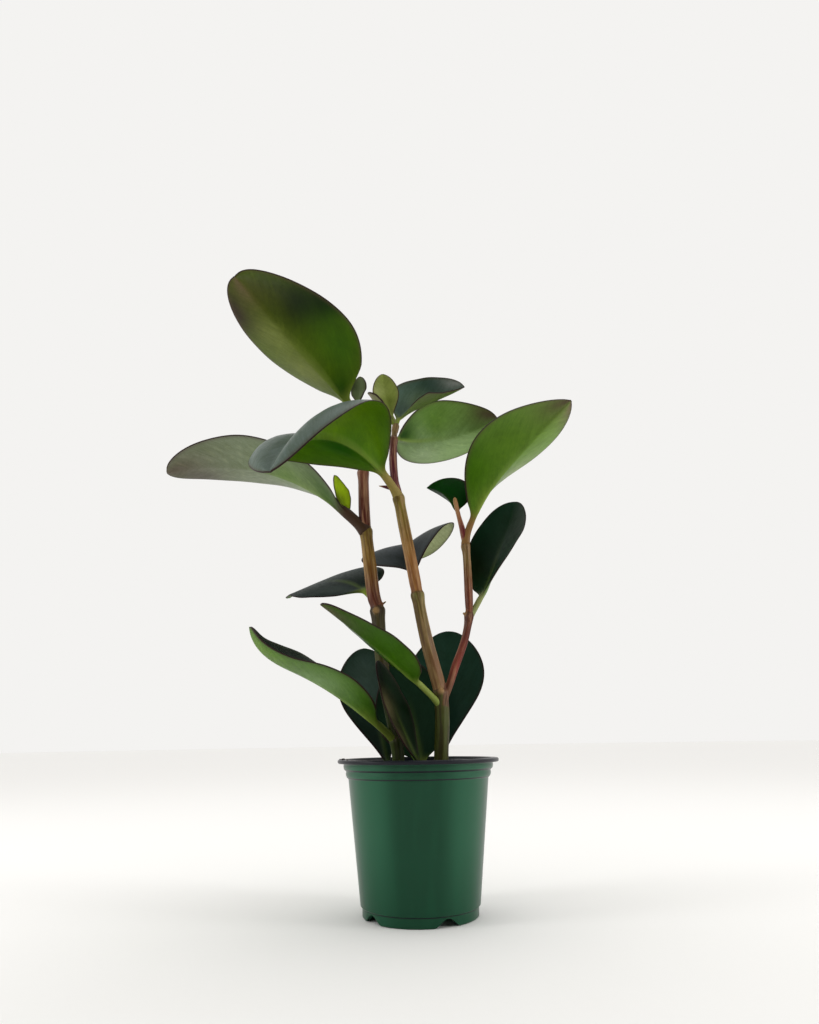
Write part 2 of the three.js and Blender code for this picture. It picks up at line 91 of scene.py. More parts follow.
MIDDLE_STEM = (
    (14, -4, 56, 4.5, "#464C18"),
    (14.5, -4, 89, 4.6, "#464C18"),
    (15.8, -4, 111.5, 4.7, "#444A1A"),
    (15, -4, 129, 4.6, "#4B4A1E", "node"),
    # the pale tan here is partly the stem's own colour and partly a painted highlight
    (10.9, -4, 146.5, 4.4, "#90744C"),
    (7, -4, 162.5, 4.3, "#806A42"),
    (3.4, -4.5, 181, 4.1, "#726532"),
    (1.5, -5, 193.5, 4.1, "#74703A", "node"),
    (-2.5, -5, 217.5, 4.1, "#966A38"),
    (-7, -6, 242.5, 4.1, "#7C6A2C"),
    (-10.6, -6, 263, 3.7, "#6E6428", "node"),
    (-13, -6, 275, 2.8, "#5A2433"),
    (-14.2, -6, 292, 2.9, "#5C2A2E"),
    (-13.5, -6, 308, 2.4, "#5C3A2C", "node"),
    (-12, -6, 318.5, 1.9, "#6A5A34", "node"),
    (-11.6, -6, 322, 1.4, "#6A6A3A"),
)
RIGHT_BRANCH = (
    (16, -4, 121, 2.4, "#5A4424"),
    (20.9, -4, 132.5, 2.4, "#6A4230"),
    (25.6, -4, 145.5, 2.6, "#80382C"),
    (30.4, -4, 157, 2.5, "#78382C"),
    (33.4, -4, 166, 2.5, "#603026"),
    (35.9, -4, 179, 2.6, "#623A28", "node"),
    (36.3, -4, 196, 2.9, "#74422A"),
    (36.1, -4, 216, 2.7, "#6E5A30"),
    (35.5, -4, 227.5, 2.6, "#6A5430", "node"),
    (33.8, -4, 239, 2.1, "#6A2A2C"),
    (31.8, -5, 247, 1.6, "#8A5A3C"),
    (29.4, -6, 259, 1.6, "#A07A48"),
    (29.1, -6, 262, 0.8, "#A07A48"),
)
# scars and spurs of lost leaves: place on the stem, heading, rise, how far out, radii. The last
# one of the middle stem is a dry bract at the foot of the arching leaf.
LEFT_STUBS = (
    ((-26.5, 4, 183), -95, 5, 5.8, 2.6, 2.2),
    ((-26.5, 4, 186), -15, 32, 8, 1.5, 0.5),
    ((-36.4, 2, 286), -20, 10, 6.2, 1.8, 0.8),
)
MIDDLE_STUBS = (
    ((15.2, -4, 129), -85, 10, 6, 1.7, 1.4),
    ((35.9, -4, 178.5), -165, 20, 4.6, 1.5, 0.7),
    ((-15, -9.4, 268.6), 181, 10, 9.6, 2, 0.35),
)
# heights at which pale stripes begin on the stems, and over how far they grow to full strength
LEFT_STRIPES = 172
MIDDLE_STRIPES = 122
STRIPES_OVER = 25
STEM_AROUND = 28
STEM_STEP = 1.2
NODE_SWELL = 0.75
GRAIN_ALONG = 0.05  # how much the grain is drawn out along the stem
SCAR_REACH = 2.6

# ---------------------------------------------------------------- leaves
# One midrib and a blade that folds and turns about it, in degrees: heading is counted from +X
# towards +Y and turns by swing; rise is the slope at the stem, which droop takes away towards the
# tip (late above 1: mostly near the tip) and tip_up gives back there; roll and twist turn the blade
# about its midrib; fold lifts both halves like an open book, and bulge rounds them upwards; a
# smaller round_tip makes the tip more pointed. Colours are as they look in soft light, and the grey
# upper colours of some leaves are painted sheen. A spot is a soft patch of another colour on the
# face that is mostly seen (1 the upper one, -1 the under one): some are the leaf's own blotches,
# blush and brown tips, others painted sheen or painted shade. Each gives how far across (-1 left
# margin, 1 right margin, seen from above with the tip ahead), how far along (0 to 1), its reach in
# millimetres and its colour. The closer halved is to 1, the more each spot keeps to its own side of
# the midrib.
LEAF_FORM = dict(
    swing=0, droop=0, late=1, tip_up=0, roll=0, twist=0, fold=10, bulge=0, widest=0.5,
    round_tip=0.55, stalk_radius=2.3, under="#3E5A1C", upper="#121E16", margin="#4A3E2A",
    stalk_colour="#6E7C30", rib_light=0.6, vein_light=0.3, gloss=0.13, blotches_and_painted_light=(), seen=-1, halved=0,
)
LEAVES = {
    "leaf_top_left": dict(
        at=(-41.5, 2, 333), heading=224, swing=18, rise=35, droop=23, late=0.95, roll=5, twist=30,
        stalk=8, length=123, width=80, fold=33, widest=0.4, stalk_radius=2.8, under="#46580E",
        rib_light=0.5, gloss=0.08, halved=0.75,
        # the two pale grey-green patches are painted sheen, the brown ones at the tip and margin
        # the leaf's own blush
        blotches_and_painted_light=(
            (-0.55, 0.66, 26, "#0E1A04"), (-0.3, 0.85, 22, "#343C10"), (-0.95, 0.5, 16, "#0A1002"),
            (-0.6, 0.3, 24, "#35540C"), (0.3, 0.6, 20, "#687238"), (0.35, 0.3, 22, "#687238"),
            (-0.2, 0.1, 14, "#284402"), (0.1, 0.97, 22, "#5E543A"), (0.95, 0.8, 22, "#342B22"),
        ),
    ),
    "leaf_left_long": dict(
        at=(-34.1, 3, 240.5), heading=188, swing=-5, rise=47, droop=65, late=1.14, roll=-11,
        twist=38, stalk=18, length=138, width=64, fold=13, widest=0.45, stalk_radius=3.8,
        # its grey-green colour holds painted sheen as well as the leaf's own green
        under="#707A62", rib_light=0.3, vein_light=0.6, margin="#564A48", stalk_colour="#3E2C20",
        blotches_and_painted_light=(
            (-0.3, 0.14, 28, "#345016"), (0.2, 0.26, 14, "#768858"), (-0.1, 0.38, 16, "#5F7642"),
            (0, 1.0, 30, "#60584E"), (0.7, 0.85, 18, "#565349"),
        ),
    ),
    "leaf_front_arching": dict(
        at=(-10.6, -6, 263), heading=233, swing=4, rise=43, droop=106, late=1.05, roll=20,
        twist=-18, stalk=16, length=128, width=91, fold=5, bulge=0.2, widest=0.55, stalk_radius=2.9,
        # the grey-blue upper colour is painted sheen
        under="#3F6006", upper="#56625B", stalk_colour="#8A7A42", gloss=0.1,
        blotches_and_painted_light=(
            (0.3, 0.3, 18, "#1C4400"), (-0.4, 0.2, 16, "#4C6E14"), (-0.4, 0.56, 18, "#4E681C"),
            (-0.9, 0.75, 12, "#4A4A34"),
        ),
    ),
    "leaf_top_right": dict(
        at=(-12.2, -6, 318.5), heading=60, swing=-96, rise=74, droop=64, late=0.48, roll=17,
        twist=59, stalk=5, length=65, width=45, fold=44, widest=0.39, stalk_radius=1.6,
        under="#4E5E30", upper="#4A5E52", gloss=0.1, seen=1,
        # the pale grey patch at the tip is painted sheen
        blotches_and_painted_light=(
            (-0.7, 0.65, 12, "#34483E"), (-0.6, 0.92, 10, "#787C76"), (-0.1, 0.45, 9, "#64765A"),
        ),
    ),
    "leaf_right_middle": dict(
        at=(-13.5, -6, 308.5), heading=85, swing=-123, rise=19, droop=6, late=1.03, roll=-67,
        twist=31, stalk=6, length=106, width=60, fold=29, widest=0.57, stalk_radius=1.8,
        under="#648240", vein_light=0.4,
        # the two pale grey-green patches are painted sheen
        blotches_and_painted_light=(
            (-0.6, 0.45, 20, "#889E72"), (0.5, 0.15, 24, "#1E3E04"), (0.5, 0.48, 16, "#52722A"),
            (-0.45, 0.68, 14, "#84A068"), (0.6, 0.97, 15, "#544A36"),
        ),
    ),
    "leaf_right_high": dict(
        at=(35.5, -4, 228), heading=1, swing=-47, rise=87, droop=61, late=0.54, roll=-19, twist=-29,
        stalk=14, length=114, width=68, fold=48, widest=0.54, round_tip=0.3, under="#5E7C30",
        stalk_colour="#7A5A34", vein_light=0.35,
        # the pale patch at the left margin is painted sheen
        blotches_and_painted_light=(
            (0.8, 0.3, 34, "#3A5C14"), (0.6, 0.6, 18, "#4A6820"), (-0.8, 0.4, 16, "#748650"),
            (-0.3, 0.1, 15, "#848A3C"), (0.5, 1.0, 22, "#483E2C"), (-0.7, 1.0, 16, "#645844"),
        ),
    ),
    "leaf_right_small": dict(
        at=(33.5, -4, 240), heading=131, swing=4, rise=78, droop=65, late=1.3, roll=86, twist=-15,
        stalk=12, length=42, width=36, fold=52, widest=0.46, stalk_radius=1.4, under="#0E3404",
        upper="#0E3404", stalk_colour="#6B4A34", margin="#1A2410", rib_light=0.1, vein_light=0.1,
        gloss=0.03,
    ),
    "leaf_right_dark": dict(
        at=(35.9, -4, 178), heading=47, swing=-8, rise=30, droop=-38, late=0.3, roll=-29, twist=46,
        stalk=17, length=93, width=56, fold=17, stalk_radius=2, seen=1, upper="#163020",
        stalk_colour="#7E8452", gloss=0.08, margin="#241E1A", vein_light=0.1,
        blotches_and_painted_light=((-0.6, 0.4, 26, "#06190C"), (0.6, 0.6, 24, "#25352A")),
    ),
    "leaf_back_middle": dict(
        at=(1.5, -5, 192.5), heading=109, swing=-30, rise=73, droop=100, late=1.26, roll=-60,
        twist=60, stalk=12, length=96, width=76, fold=2, bulge=0.06, widest=0.62, stalk_radius=2,
        # the grey upper colour and its two patches are painted sheen, less near the base and more
        # at the right margin
        seen=1, under="#929A74", upper="#404446", gloss=0.01, margin="#2E2C26", vein_light=0.1,
        blotches_and_painted_light=((-0.2, 0.25, 24, "#2A2E30"), (0.8, 0.45, 12, "#585C5C")),
    ),
    "leaf_back_left": dict(
        at=(-26, 4, 186), heading=123, swing=28, rise=49, droop=73, roll=-28, twist=4, stalk=19,
        # the grey upper colour and its two patches are painted sheen
        length=90, width=77, fold=0, widest=0.45, stalk_radius=2, seen=1, upper="#252E2C",
        gloss=0.01, margin="#3A3836", vein_light=0.1,
        blotches_and_painted_light=((0.2, 0.25, 24, "#0E1812"), (-0.5, 0.2, 14, "#343C3A")),
    ),
    "leaf_front_pointed": dict(
        at=(14.5, -5, 121), heading=225, swing=-16, rise=38, droop=7, late=0.31, roll=-7, twist=-2,
        stalk=21, length=85, width=48, fold=12, widest=0.45, stalk_radius=1.9, under="#30540C",
        upper="#1C2A1E", stalk_colour="#7C8A40", margin="#3E4426",
        blotches_and_painted_light=((-0.85, 0.22, 15, "#3C5C1E"), (0, 0.85, 20, "#445230"), (0, 1.0, 14, "#57533F")),
    ),
    "leaf_low_left": dict(
        at=(-14, 5, 99), heading=210, rise=39, droop=33, late=1.41, tip_up=77, roll=5, twist=-33,
        stalk=14, length=110, width=48, fold=28, widest=0.46, stalk_radius=2.5, under="#486A24",
        upper="#1C2820", stalk_colour="#66742C", margin="#3E4630",
        blotches_and_painted_light=(
            (-0.6, 0.14, 15, "#2E5014"), (0.1, 0.03, 14, "#74863A"), (-0.1, 0.48, 16, "#64804C"),
            (-0.2, 0.85, 18, "#547228"),
        ),
    ),
    "leaf_low_round_left": dict(
        at=(-15, 12, 71), heading=125, swing=-12, rise=59, droop=-9, roll=-5, stalk=9, length=96,
        width=51, fold=5, widest=0.62, stalk_radius=1.9, seen=1, upper="#192B22", gloss=0.08,
        margin="#221E1A", vein_light=0.1,
        # the grey-green patch is painted sheen
        blotches_and_painted_light=((0, 0.75, 26, "#33423C"),),
    ),
    "leaf_low_round_right": dict(
        at=(15.5, 7, 71), heading=78, rise=69, twist=-4, stalk=16, length=96, width=56, fold=8,
        widest=0.62, stalk_radius=2.2, seen=1, upper="#20352B", gloss=0.08, margin="#26211E",
        vein_light=0.1,
    ),
    "leaf_low_narrow": dict(
        at=(8, -9, 71), heading=182, rise=62, droop=-10, roll=-31, twist=-4, stalk=14, length=71,
        width=27, fold=11, widest=0.52, stalk_radius=1.9, seen=1, upper="#0A1C10", under="#3E5A2C",
        stalk_colour="#3A3A1E", gloss=0.05, margin="#2A2A1E", vein_light=0.1,
        blotches_and_painted_light=((-0.95, 0.3, 9, "#3E3A28"), (-0.95, 0.6, 11, "#504A34")),
    ),
    "leaf_low_middle": dict(
        at=(6, 11, 71), heading=150, rise=77, roll=-58, stalk=12, length=74, width=50, fold=4,
        widest=0.48, stalk_radius=1.9, seen=1, upper="#1D2F22", gloss=0.08, margin="#1C1E16",
        vein_light=0.1,
    ),
    "tip_leaf_left": dict(
        at=(-42, 3, 334), young=True, heading=38, swing=4, rise=78, droop=-14, roll=13, twist=5,
        stalk=6, length=25, width=15, fold=7, widest=0.58, stalk_radius=1.3, under="#3C4026",
        upper="#606E46", rib_light=0.2, seen=1, gloss=0.1,
        blotches_and_painted_light=((-0.8, 0.7, 5, "#3E4C28"),),
    ),
    "axil_leaf": dict(
        at=(-34.1, 4, 242.5), young=True, heading=189, swing=18, rise=33, droop=-51, late=0.93,
        roll=-74, twist=9, stalk=15, length=32, width=16, fold=33, widest=0.51, stalk_radius=1.2,
        under="#6E8420", upper="#8EA81E", stalk_colour="#4E4A1E", margin="#5A5A1A", rib_light=0.2,
        vein_light=0.1, seen=1, gloss=0.1,
        blotches_and_painted_light=((0.7, 0.6, 9, "#98B41E"), (-0.6, 0.4, 7, "#4E5C1C")),
    ),
    "bud_leaf_front": dict(
        at=(-12, -6, 318), young=True, heading=190, swing=1, rise=69, droop=-16, roll=-97, twist=1,
        stalk=6, length=37, width=20, fold=15, widest=0.56, stalk_radius=1.3, under="#747E40",
        upper="#76823F", margin="#7A7450", stalk_colour="#6E7440", rib_light=0.3, vein_light=0.1,
        seen=1, gloss=0.1,
        blotches_and_painted_light=((-0.8, 0.6, 7, "#8E965C"), (0.1, 0.4, 5, "#6A7634")),
    ),
    "bud_leaf_side": dict(
        at=(-12, -6, 317), young=True, heading=194, swing=1, rise=56, droop=8, roll=2, stalk=7,
        length=26, width=11, fold=25, widest=0.58, stalk_radius=1.1, under="#7E8658",
        upper="#7E8658", margin="#6A6048", rib_light=0.2, vein_light=0.1, gloss=0.1,
        blotches_and_painted_light=((0, 1.0, 8, "#8A8470"),),
    ),
}
LEAF_STEPS = 60  # along the midrib
STALK_RINGS = 10
BLADE_RINGS = 64
HALF_AROUND = 26  # points across each face
TIP_FROM = 0.65  # share of the leaf from which its tip turns up
STALK_TAPER = 0.45
STALK_FLARE, FLARE_LENGTH = 0.35, 5  # where the stalk joins the stem
FLAT_FROM = 0.14  # share of the blade over which the round stalk flattens
LEAST_HALF = 0.9  # of the blade, at both ends
RIB_HEIGHT = 1.6
GROOVE_DEPTH, GROOVE_REACH = 0.35, 1.4
EDGE_POWER = 24  # a higher one keeps the blade's thickness closer to its edge
VEIN_SPACING = 11
FACES_APART = 40  # between the patterns of the two faces
STALK_FROM_EDGE = 9  # keeps the margin's colour off the stalk
# what each point of a leaf and of a stem carries, and the output that its material reads it from
LEAF_FACTS = {
    "blade": "Vector", "tone": "Color", "near": "Fac", "rib": "Fac", "stalk": "Fac", "vein": "Fac",
}
STEM_FACTS = {
    "grain": "Vector", "tone": "Color", "striped": "Fac", "collar": "Fac", "scar": "Fac",
}

# ---------------------------------------------------------------- pot and soil
HEEL = (36.1, 6.4)
WALL_TOP = (44.1, 77.0)
FLOOR_TOP = 5.3
LIP_THICKNESS = 2.3
UPPER_BAND_IN, LOWER_BAND_IN = 3.8, 5.4  # from the rim
# heights and radii that part the green outside from the black inside
UNDER_FLOOR, BANDS_FROM, BANDS_MEET = 5, 77.5, 81.8
LOWER_BAND_INSIDE, UPPER_BAND_INSIDE = 44.9, 46.6
# painted highlights: how many pale bands lie around the pot's wall
HIGHLIGHT_BANDS = 4  # around the wall
ARCH_HEADINGS = (-144, -64, 6, 76, 146)
ARCH_HEIGHT, ARCH_HALF = 4.6, 10
ARCH_START = 1.0  # how far its ends lie below the ground
ARCH_POINTS = 20
ARCH_FROM, ARCH_DEPTH = 0.029, 0.010  # in metres from the axis
SOIL_IN = 1.4  # from the outside of the wall
SOIL_BASE = ((0.001, 5.8), (33.4, 5.8), (34.6, 8.4))
SOIL_RINGS = 60
GRIT_HEIGHT = 0.7
PERLITE_GRAINS = 9
LIP_CRUMBS = 16
LIP_CRUMB_HEADINGS, LIP_CRUMB_RADII, LIP_CRUMB_HEIGHT = (172, 214), (46.8, 50), 88.65

# ---------------------------------------------------------------- stage, in metres
FLOOR_RADIUS = 12
LIGHT_AIM = Vector((0, 0, 0.16))
LIGHT_DISTANCE = 1.3
FLAG_PLACE = (0, -0.85, 0.56)
FLAG_HALVES = (0.8, 0.36)
CAMERA_PLACE = (-0.003, -0.473, 0.100)
CAMERA_PITCH, CAMERA_ROLL = 18.0, 0.9


class PotSettings(bpy.types.PropertyGroup):
    """Sizes and colours of the nursery pot."""

    rim_radius: FloatProperty(
        name="Rim radius", description="Outer radius of the rolled lip",
        default=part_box("pot")[1].x, min=0.03, unit="LENGTH",
    )
    height: FloatProperty(
        name="Height", description="From the ground to the top of the lip",
        default=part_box("pot")[1].z, min=0.03, unit="LENGTH",
    )
    wall: FloatProperty(
        name="Wall", description="Thickness of the formed sheet", default=0.0011, unit="LENGTH",
    )
    outside: FloatVectorProperty(
        name="Outside", description="Colour of the outer skin", subtype="COLOR", size=3,
        default=linear("#073E27"),
    )
    inside: FloatVectorProperty(
        name="Inside", description="Colour of the inner skin and the lip", subtype="COLOR", size=3,
        default=linear("#12141C"),
    )


class SoilSettings(bpy.types.PropertyGroup):
    """Level, unevenness and colours of the potting mix."""

    level: FloatProperty(
        name="Level", description="Height of the surface above the ground", default=0.0775,
        unit="LENGTH",
    )
    relief: FloatProperty(
        name="Relief", description="How far the surface rises and falls", default=0.0014,
        unit="LENGTH",
    )
    crumbs: IntProperty(
        name="Crumbs", description="Loose bits of bark and peat on the surface", default=620, min=0,
    )
    peat: FloatVectorProperty(
        name="Peat", description="Colour of the moist mix", subtype="COLOR", size=3,
        default=linear("#2A1F18"),
    )
    bark: FloatVectorProperty(
        name="Bark", description="Colour of the lighter bits", subtype="COLOR", size=3,
        default=linear("#6A4A30"),
    )


class StemSettings(bpy.types.PropertyGroup):
    """What both stems share."""

    streak: FloatVectorProperty(
        name="Streak", description="Colour of the pale stripes along the stems", subtype="COLOR",
        size=3, default=linear("#B08C68"),
    )
    ridge: FloatProperty(
        name="Ridges", description="Height of the blunt ridges along the stems", default=0.0002,
        unit="LENGTH",
    )


class LeafSettings(bpy.types.PropertyGroup):
    """What all the leaves share."""

    edge_thickness: FloatProperty(
        name="Edge thickness", description="Of the blade at its margin", default=0.001,
        unit="LENGTH",
    )
    blade_thickness: FloatProperty(
        name="Blade thickness", description="Of the blade beside the midrib", default=0.0013,
        unit="LENGTH",
    )
    wave: FloatProperty(
        name="Wave", description="How far the margin rises and falls", default=0.0002,
        unit="LENGTH",
    )
    edge: FloatVectorProperty(
        name="Edge", description="Colour of the thin margin line", subtype="COLOR", size=3,
        default=linear("#2C181A"),
    )
    rib: FloatVectorProperty(
        name="Midrib", description="Colour of the midrib on the underside", subtype="COLOR", size=3,
        default=linear("#8AA248"),
    )
    wax: FloatProperty(
        name="Wax", description="Light that the waxy skin adds to every colour", default=0.006,
        min=0,
    )
    depth: FloatProperty(
        name="Depth", description="Gain that makes up for the mottling, which only darkens",
        default=1.25,
    )


class StageSettings(bpy.types.PropertyGroup):
    """Floor, light and camera."""

    paper: FloatVectorProperty(
        name="Floor", description="Colour of the floor and the surroundings", subtype="COLOR",
        size=3, default=linear("#F4F3F1"),
    )
    side_light: FloatProperty(
        name="Side lights", description="Power of the lights at the left and right", default=4.5,
        subtype="POWER",
    )
    top_light: FloatProperty(
        name="Top light", description="Power of the soft box above the plant", default=2.4,
        subtype="POWER",
    )
    even_light: FloatProperty(
        name="Even light", description="Strength of the light that brightens all of the floor",
        default=0.26,
    )
    lens: FloatProperty(
        name="Lens", description="Focal length on a 36 mm sensor", default=24.61, unit="CAMERA",
    )


# ---------------------------------------------------------------- shader helpers
SOFT = {"interpolation_type": "SMOOTHSTEP"}


def add(tree, kind, inputs, output=0, **settings):
    """Adds a node with its settings and gives one output. Inputs are values or other outputs."""
    made = tree.nodes.new("ShaderNode" + kind)
    for key, value in settings.items():
        setattr(made, key, value)
    for key, value in inputs.items() if isinstance(inputs, dict) else enumerate(inputs):
        socket = made.inputs[key]
        if isinstance(value, bpy.types.NodeSocket):
            tree.links.new(value, socket)
        else:
            socket.default_value = (*value, 1.0) if socket.type == "RGBA" else value
    return made.outputs[output] if made.outputs else None


def blank(name):
    """A new material with an empty tree."""
    material = bpy.data.materials.new(name)
    material.use_nodes = True
    material.node_tree.nodes.clear()
    return material, material.node_tree


def painted(tree, body, *coats):
    """Body colour under coats, each a measure, its span, the shares at both ends and a colour.

    The share goes softly from one to the other, and evenly where the span is 0 to 1. A coat that
    ends with MULTIPLY tints what lies under it.
    """
    for measure, low, high, at_low, at_high, colour, *blend in coats:
        ease = {} if (low, high) == (0, 1) else SOFT
        share = add(tree, "MapRange", (measure, low, high, at_low, at_high), **ease)
        body = add(tree, "Mix", {0: share, 6: body, 7: colour}, 2, data_type="RGBA",
                   blend_type=blend[0] if blend else "MIX")
    return body


def skin(tree, body, look, relief=None, strength=0.0, depth=0.0):
    """Shows a body colour, with a relief whose bump has a strength and a depth in metres."""
    if relief:
        bump = add(tree, "Bump", {"Height": relief, "Strength": strength, "Distance": depth})
        look = {**look, "Normal": bump}
    shader = add(tree, "BsdfPrincipled", {"Base Color": body, **look})
    add(tree, "OutputMaterial", {"Surface": shader})


# ---------------------------------------------------------------- materials
def formed_polypropylene(name, colour, roughness, highlight_share):
    """Thermoformed polypropylene sheet: satin and faintly wavy, with painted highlight bands on its
    wall.
    """
    material, tree = blank(name)
    place = add(tree, "TexCoord", {}, "Object")
    # clouds of 22 mm, and a wall that is wavy over about 12 mm
    cloud = add(tree, "TexNoise", {"Vector": place, "Scale": 45, "Detail": 3})
    wavy = add(tree, "TexNoise", {"Vector": place, "Scale": 85, "Detail": 1})
    # forming draws the sheet downwards, which leaves soft bands of about 8 mm along the wall
    long = add(tree, "Mapping", {"Vector": place, "Scale": (120, 120, 9)})
    drawn = add(tree, "TexNoise", {"Vector": long, "Scale": 1, "Detail": 1})
    # painted highlights: paler bands about 35 mm wide at four places around the wall, two of them
    # on the flanks that face the front, fading towards the foot over the lowest 50 mm
    axes = add(tree, "SeparateXYZ", {"Vector": place}).node.outputs
    turn = add(tree, "Math", (axes["Y"], axes["X"]), operation="ARCTAN2")
    turns = add(tree, "Math", (turn, HIGHLIGHT_BANDS), operation="MULTIPLY")
    wave = add(tree, "Math", (turns,), operation="COSINE")
    across = add(tree, "MapRange", (wave, 0.5, -0.9, 0, highlight_share), **SOFT)
    upwards = add(tree, "MapRange", (axes["Z"], 0, 0.05, 0.3, 1), **SOFT)
    # thin is the mask of the painted highlights
    thin = add(tree, "Math", (across, upwards), operation="MULTIPLY")
    pale = tuple(c * 1.25 + 0.001 for c in colour)
    # the last coat paints the highlights in a paler green
    body = painted(
        tree, colour, (cloud, 0.3, 0.75, 0, 0.3, pale), (drawn, 0.45, 0.7, 0, 0.6, pale),
        (thin, 0, 1, 0, 1, tuple(c * 1.75 + 0.012 for c in colour)),
    )
    look = {"Roughness": roughness, "IOR": 1.49, "Specular IOR Level": 0.22}
    skin(tree, body, look, wavy, 0.15, 0.0004)
    return material


def potting_mix(name, peat, bark):
    """Moist peat with bark and a few grains of perlite: dark, matte and crumbly."""
    material, tree = blank(name)
    place = add(tree, "TexCoord", {}, "Object")
    # bits of 2.4 mm and grit of 1.4 mm
    bits = add(tree, "TexVoronoi", {"Vector": place, "Scale": 420}, "Color")
    value = add(tree, "SeparateColor", {0: bits})
    grit = add(tree, "TexNoise", {"Vector": place, "Scale": 700, "Detail": 5})
    perlite = add(tree, "Attribute", {}, "Fac", attribute_name="perlite")
    body = painted(
        tree, peat, (value, 0.55, 1, 0, 0.7, bark),
        (grit, 0.35, 0.7, 0, 0.6, tuple(c * 0.35 for c in peat)),
        (perlite, 0, 1, 0, 1, linear("#D8D2C6")),
    )
    skin(tree, body, {"Roughness": 0.9}, grit, 0.7, 0.001)
    return material


def peperomia_stem(name, streak):
    """Living stem: fleshy and satin, with stripes along it and darker collars at the nodes."""
    material, tree = blank(name)
    grain, tone, striped, collar, scar = (
        add(tree, "Attribute", {}, output, attribute_name=fact)
        for fact, output in STEM_FACTS.items()
    )
    # grain is in millimetres across the stem: broad stripes of 2 mm and fine ones of 0.6 mm
    broad = add(tree, "TexNoise", {"Vector": grain, "Scale": 0.5, "Detail": 1})
    fine = add(tree, "TexNoise", {"Vector": grain, "Scale": 1.7, "Detail": 2})
    # blotches of 6 mm
    place = add(tree, "TexCoord", {}, "Object")
    cloud = add(tree, "TexNoise", {"Vector": place, "Scale": 160, "Detail": 4})
    deep = add(tree, "Mix", {0: 1, 6: tone, 7: (0.62, 0.5, 0.5)}, 2, data_type="RGBA",
               blend_type="MULTIPLY")
    broad_ones = add(tree, "MapRange", (broad, 0.54, 0.64, 0, 0.34), **SOFT)
    fine_ones = add(tree, "MapRange", (fine, 0.52, 0.66, 0, 0.26), **SOFT)
    stripes = add(tree, "Math", (broad_ones, fine_ones), operation="ADD")
    pale = add(tree, "Math", (striped, stripes), operation="MULTIPLY")
    body = painted(
        tree, tone, (broad, 0.56, 0.42, 0, 1, deep), (pale, 0, 1, 0, 1, streak),
        (cloud, 0.45, 0.75, 0, 0.35, deep), (collar, 0, 1, 0, 0.55, linear("#3E2A14")),
        (scar, 0, 1, 0, 1, linear("#9A7A50")),
    )
    rough = add(tree, "MapRange", (cloud, 0.3, 0.7, 0.36, 0.5), **SOFT)
    relief = add(tree, "Math", (cloud, 0.4, fine), operation="MULTIPLY_ADD")
    look = {"Roughness": rough, "IOR": 1.42, "Specular IOR Level": 0.22}
    skin(tree, body, look, relief, 0.4, 0.0006)
    return material


def peperomia_leaf(name, leaf, shared):
    """Fleshy leaf: waxy and dark above, satin and lighter beneath, with a thin dark red margin."""
    material, tree = blank(name)
    blade, tone, near, rib, stalk, vein = (
        add(tree, "Attribute", {}, output, attribute_name=fact)
        for fact, output in LEAF_FACTS.items()
    )
    # blade is in millimetres: patches of 20 mm, mottling of 4 mm and speckles of 1.2 mm, and pores,
    # which are 0.05 mm across, too fine to show, and drawn at about 0.5 mm
    patch, cloud, fleck, pores = (
        add(tree, "TexNoise", {"Vector": blade, "Scale": scale, "Detail": detail})
        for scale, detail in ((0.05, 3), (0.25, 4), (0.8, 2), (2.2, 2))
    )
    # its third number counts across the side veins, which gives streaks of 2 mm beside them
    drawn = add(tree, "Mapping", {"Vector": blade, "Scale": (0.1, 0.02, 0.5)})
    streak = add(tree, "TexNoise", {"Vector": drawn, "Scale": 1, "Detail": 2})
    body = painted(
        tree, tone,
        (patch, 0.4, 0.7, 0, 0.5, (0.7, 0.72, 0.6), "MULTIPLY"),
        (cloud, 0.45, 0.7, 0, 0.5, (0.8, 0.82, 0.75), "MULTIPLY"),
        (streak, 0.4, 0.65, 0, 1, (0.91, 0.92, 0.9), "MULTIPLY"),
        (fleck, 0.52, 0.7, 0, 0.6, (1.25, 1.2, 1.3), "MULTIPLY"),
        (vein, 0, 1, 0, leaf["vein_light"], (1.4, 1.35, 1.3), "MULTIPLY"),
        (rib, 0, 1, 0, leaf["rib_light"], shared.rib),
        (near, 0.5, 3.5, 0.45, 0, linear(leaf["margin"])),
        (stalk, 0, 1, 0, 1, linear(leaf["stalk_colour"])),
        (near, 0.4, 1, 0.95, 0, shared.edge),
    )
    rough = add(tree, "MapRange", (cloud, 0.3, 0.7, 0.34, 0.44), **SOFT)
    relief = add(tree, "Math", (pores, vein), operation="ADD")
    relief = add(tree, "Math", (relief, 0.3), operation="MULTIPLY")
    look = {"Roughness": rough, "IOR": 1.45, "Specular IOR Level": leaf["gloss"]}
    skin(tree, body, look, relief, 0.3, 0.0003)
    return material


def studio_paper(name, colour):
    """Seamless background paper: matte and even."""
    material, tree = blank(name)
    place = add(tree, "TexCoord", {}, "Object")
    # tufts of fibre of 3 mm
    fibre = add(tree, "TexNoise", {"Vector": place, "Scale": 300, "Detail": 3})
    body = painted(tree, colour, (fibre, 0.4, 0.6, 0, 0.2, tuple(c * 0.99 for c in colour)))
    skin(tree, body, {"Roughness": 0.95, "Specular IOR Level": 0.1})
    return material


# ---------------------------------------------------------------- mesh helpers
def meshed(name, bm):
    """The mesh of a bmesh, which is used up."""
    mesh = bpy.data.meshes.new(name)
    bm.to_mesh(mesh)
    bm.free()
    return mesh


def placed(name, data):
    """A new object in the scene."""
    made = bpy.data.objects.new(name, data)
    bpy.context.scene.collection.objects.link(made)
    return made


def keep(name, mesh, materials, node):
    """Turns a mesh into a finished piece that rides on the plant and stands for its CAD node."""
    mesh.polygons.foreach_set("use_smooth", [True] * len(mesh.polygons))
    mesh.materials.clear()
    for material in materials:
        mesh.materials.append(material)
    piece = placed(name, mesh)
    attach(piece, "root")
    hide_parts(node)


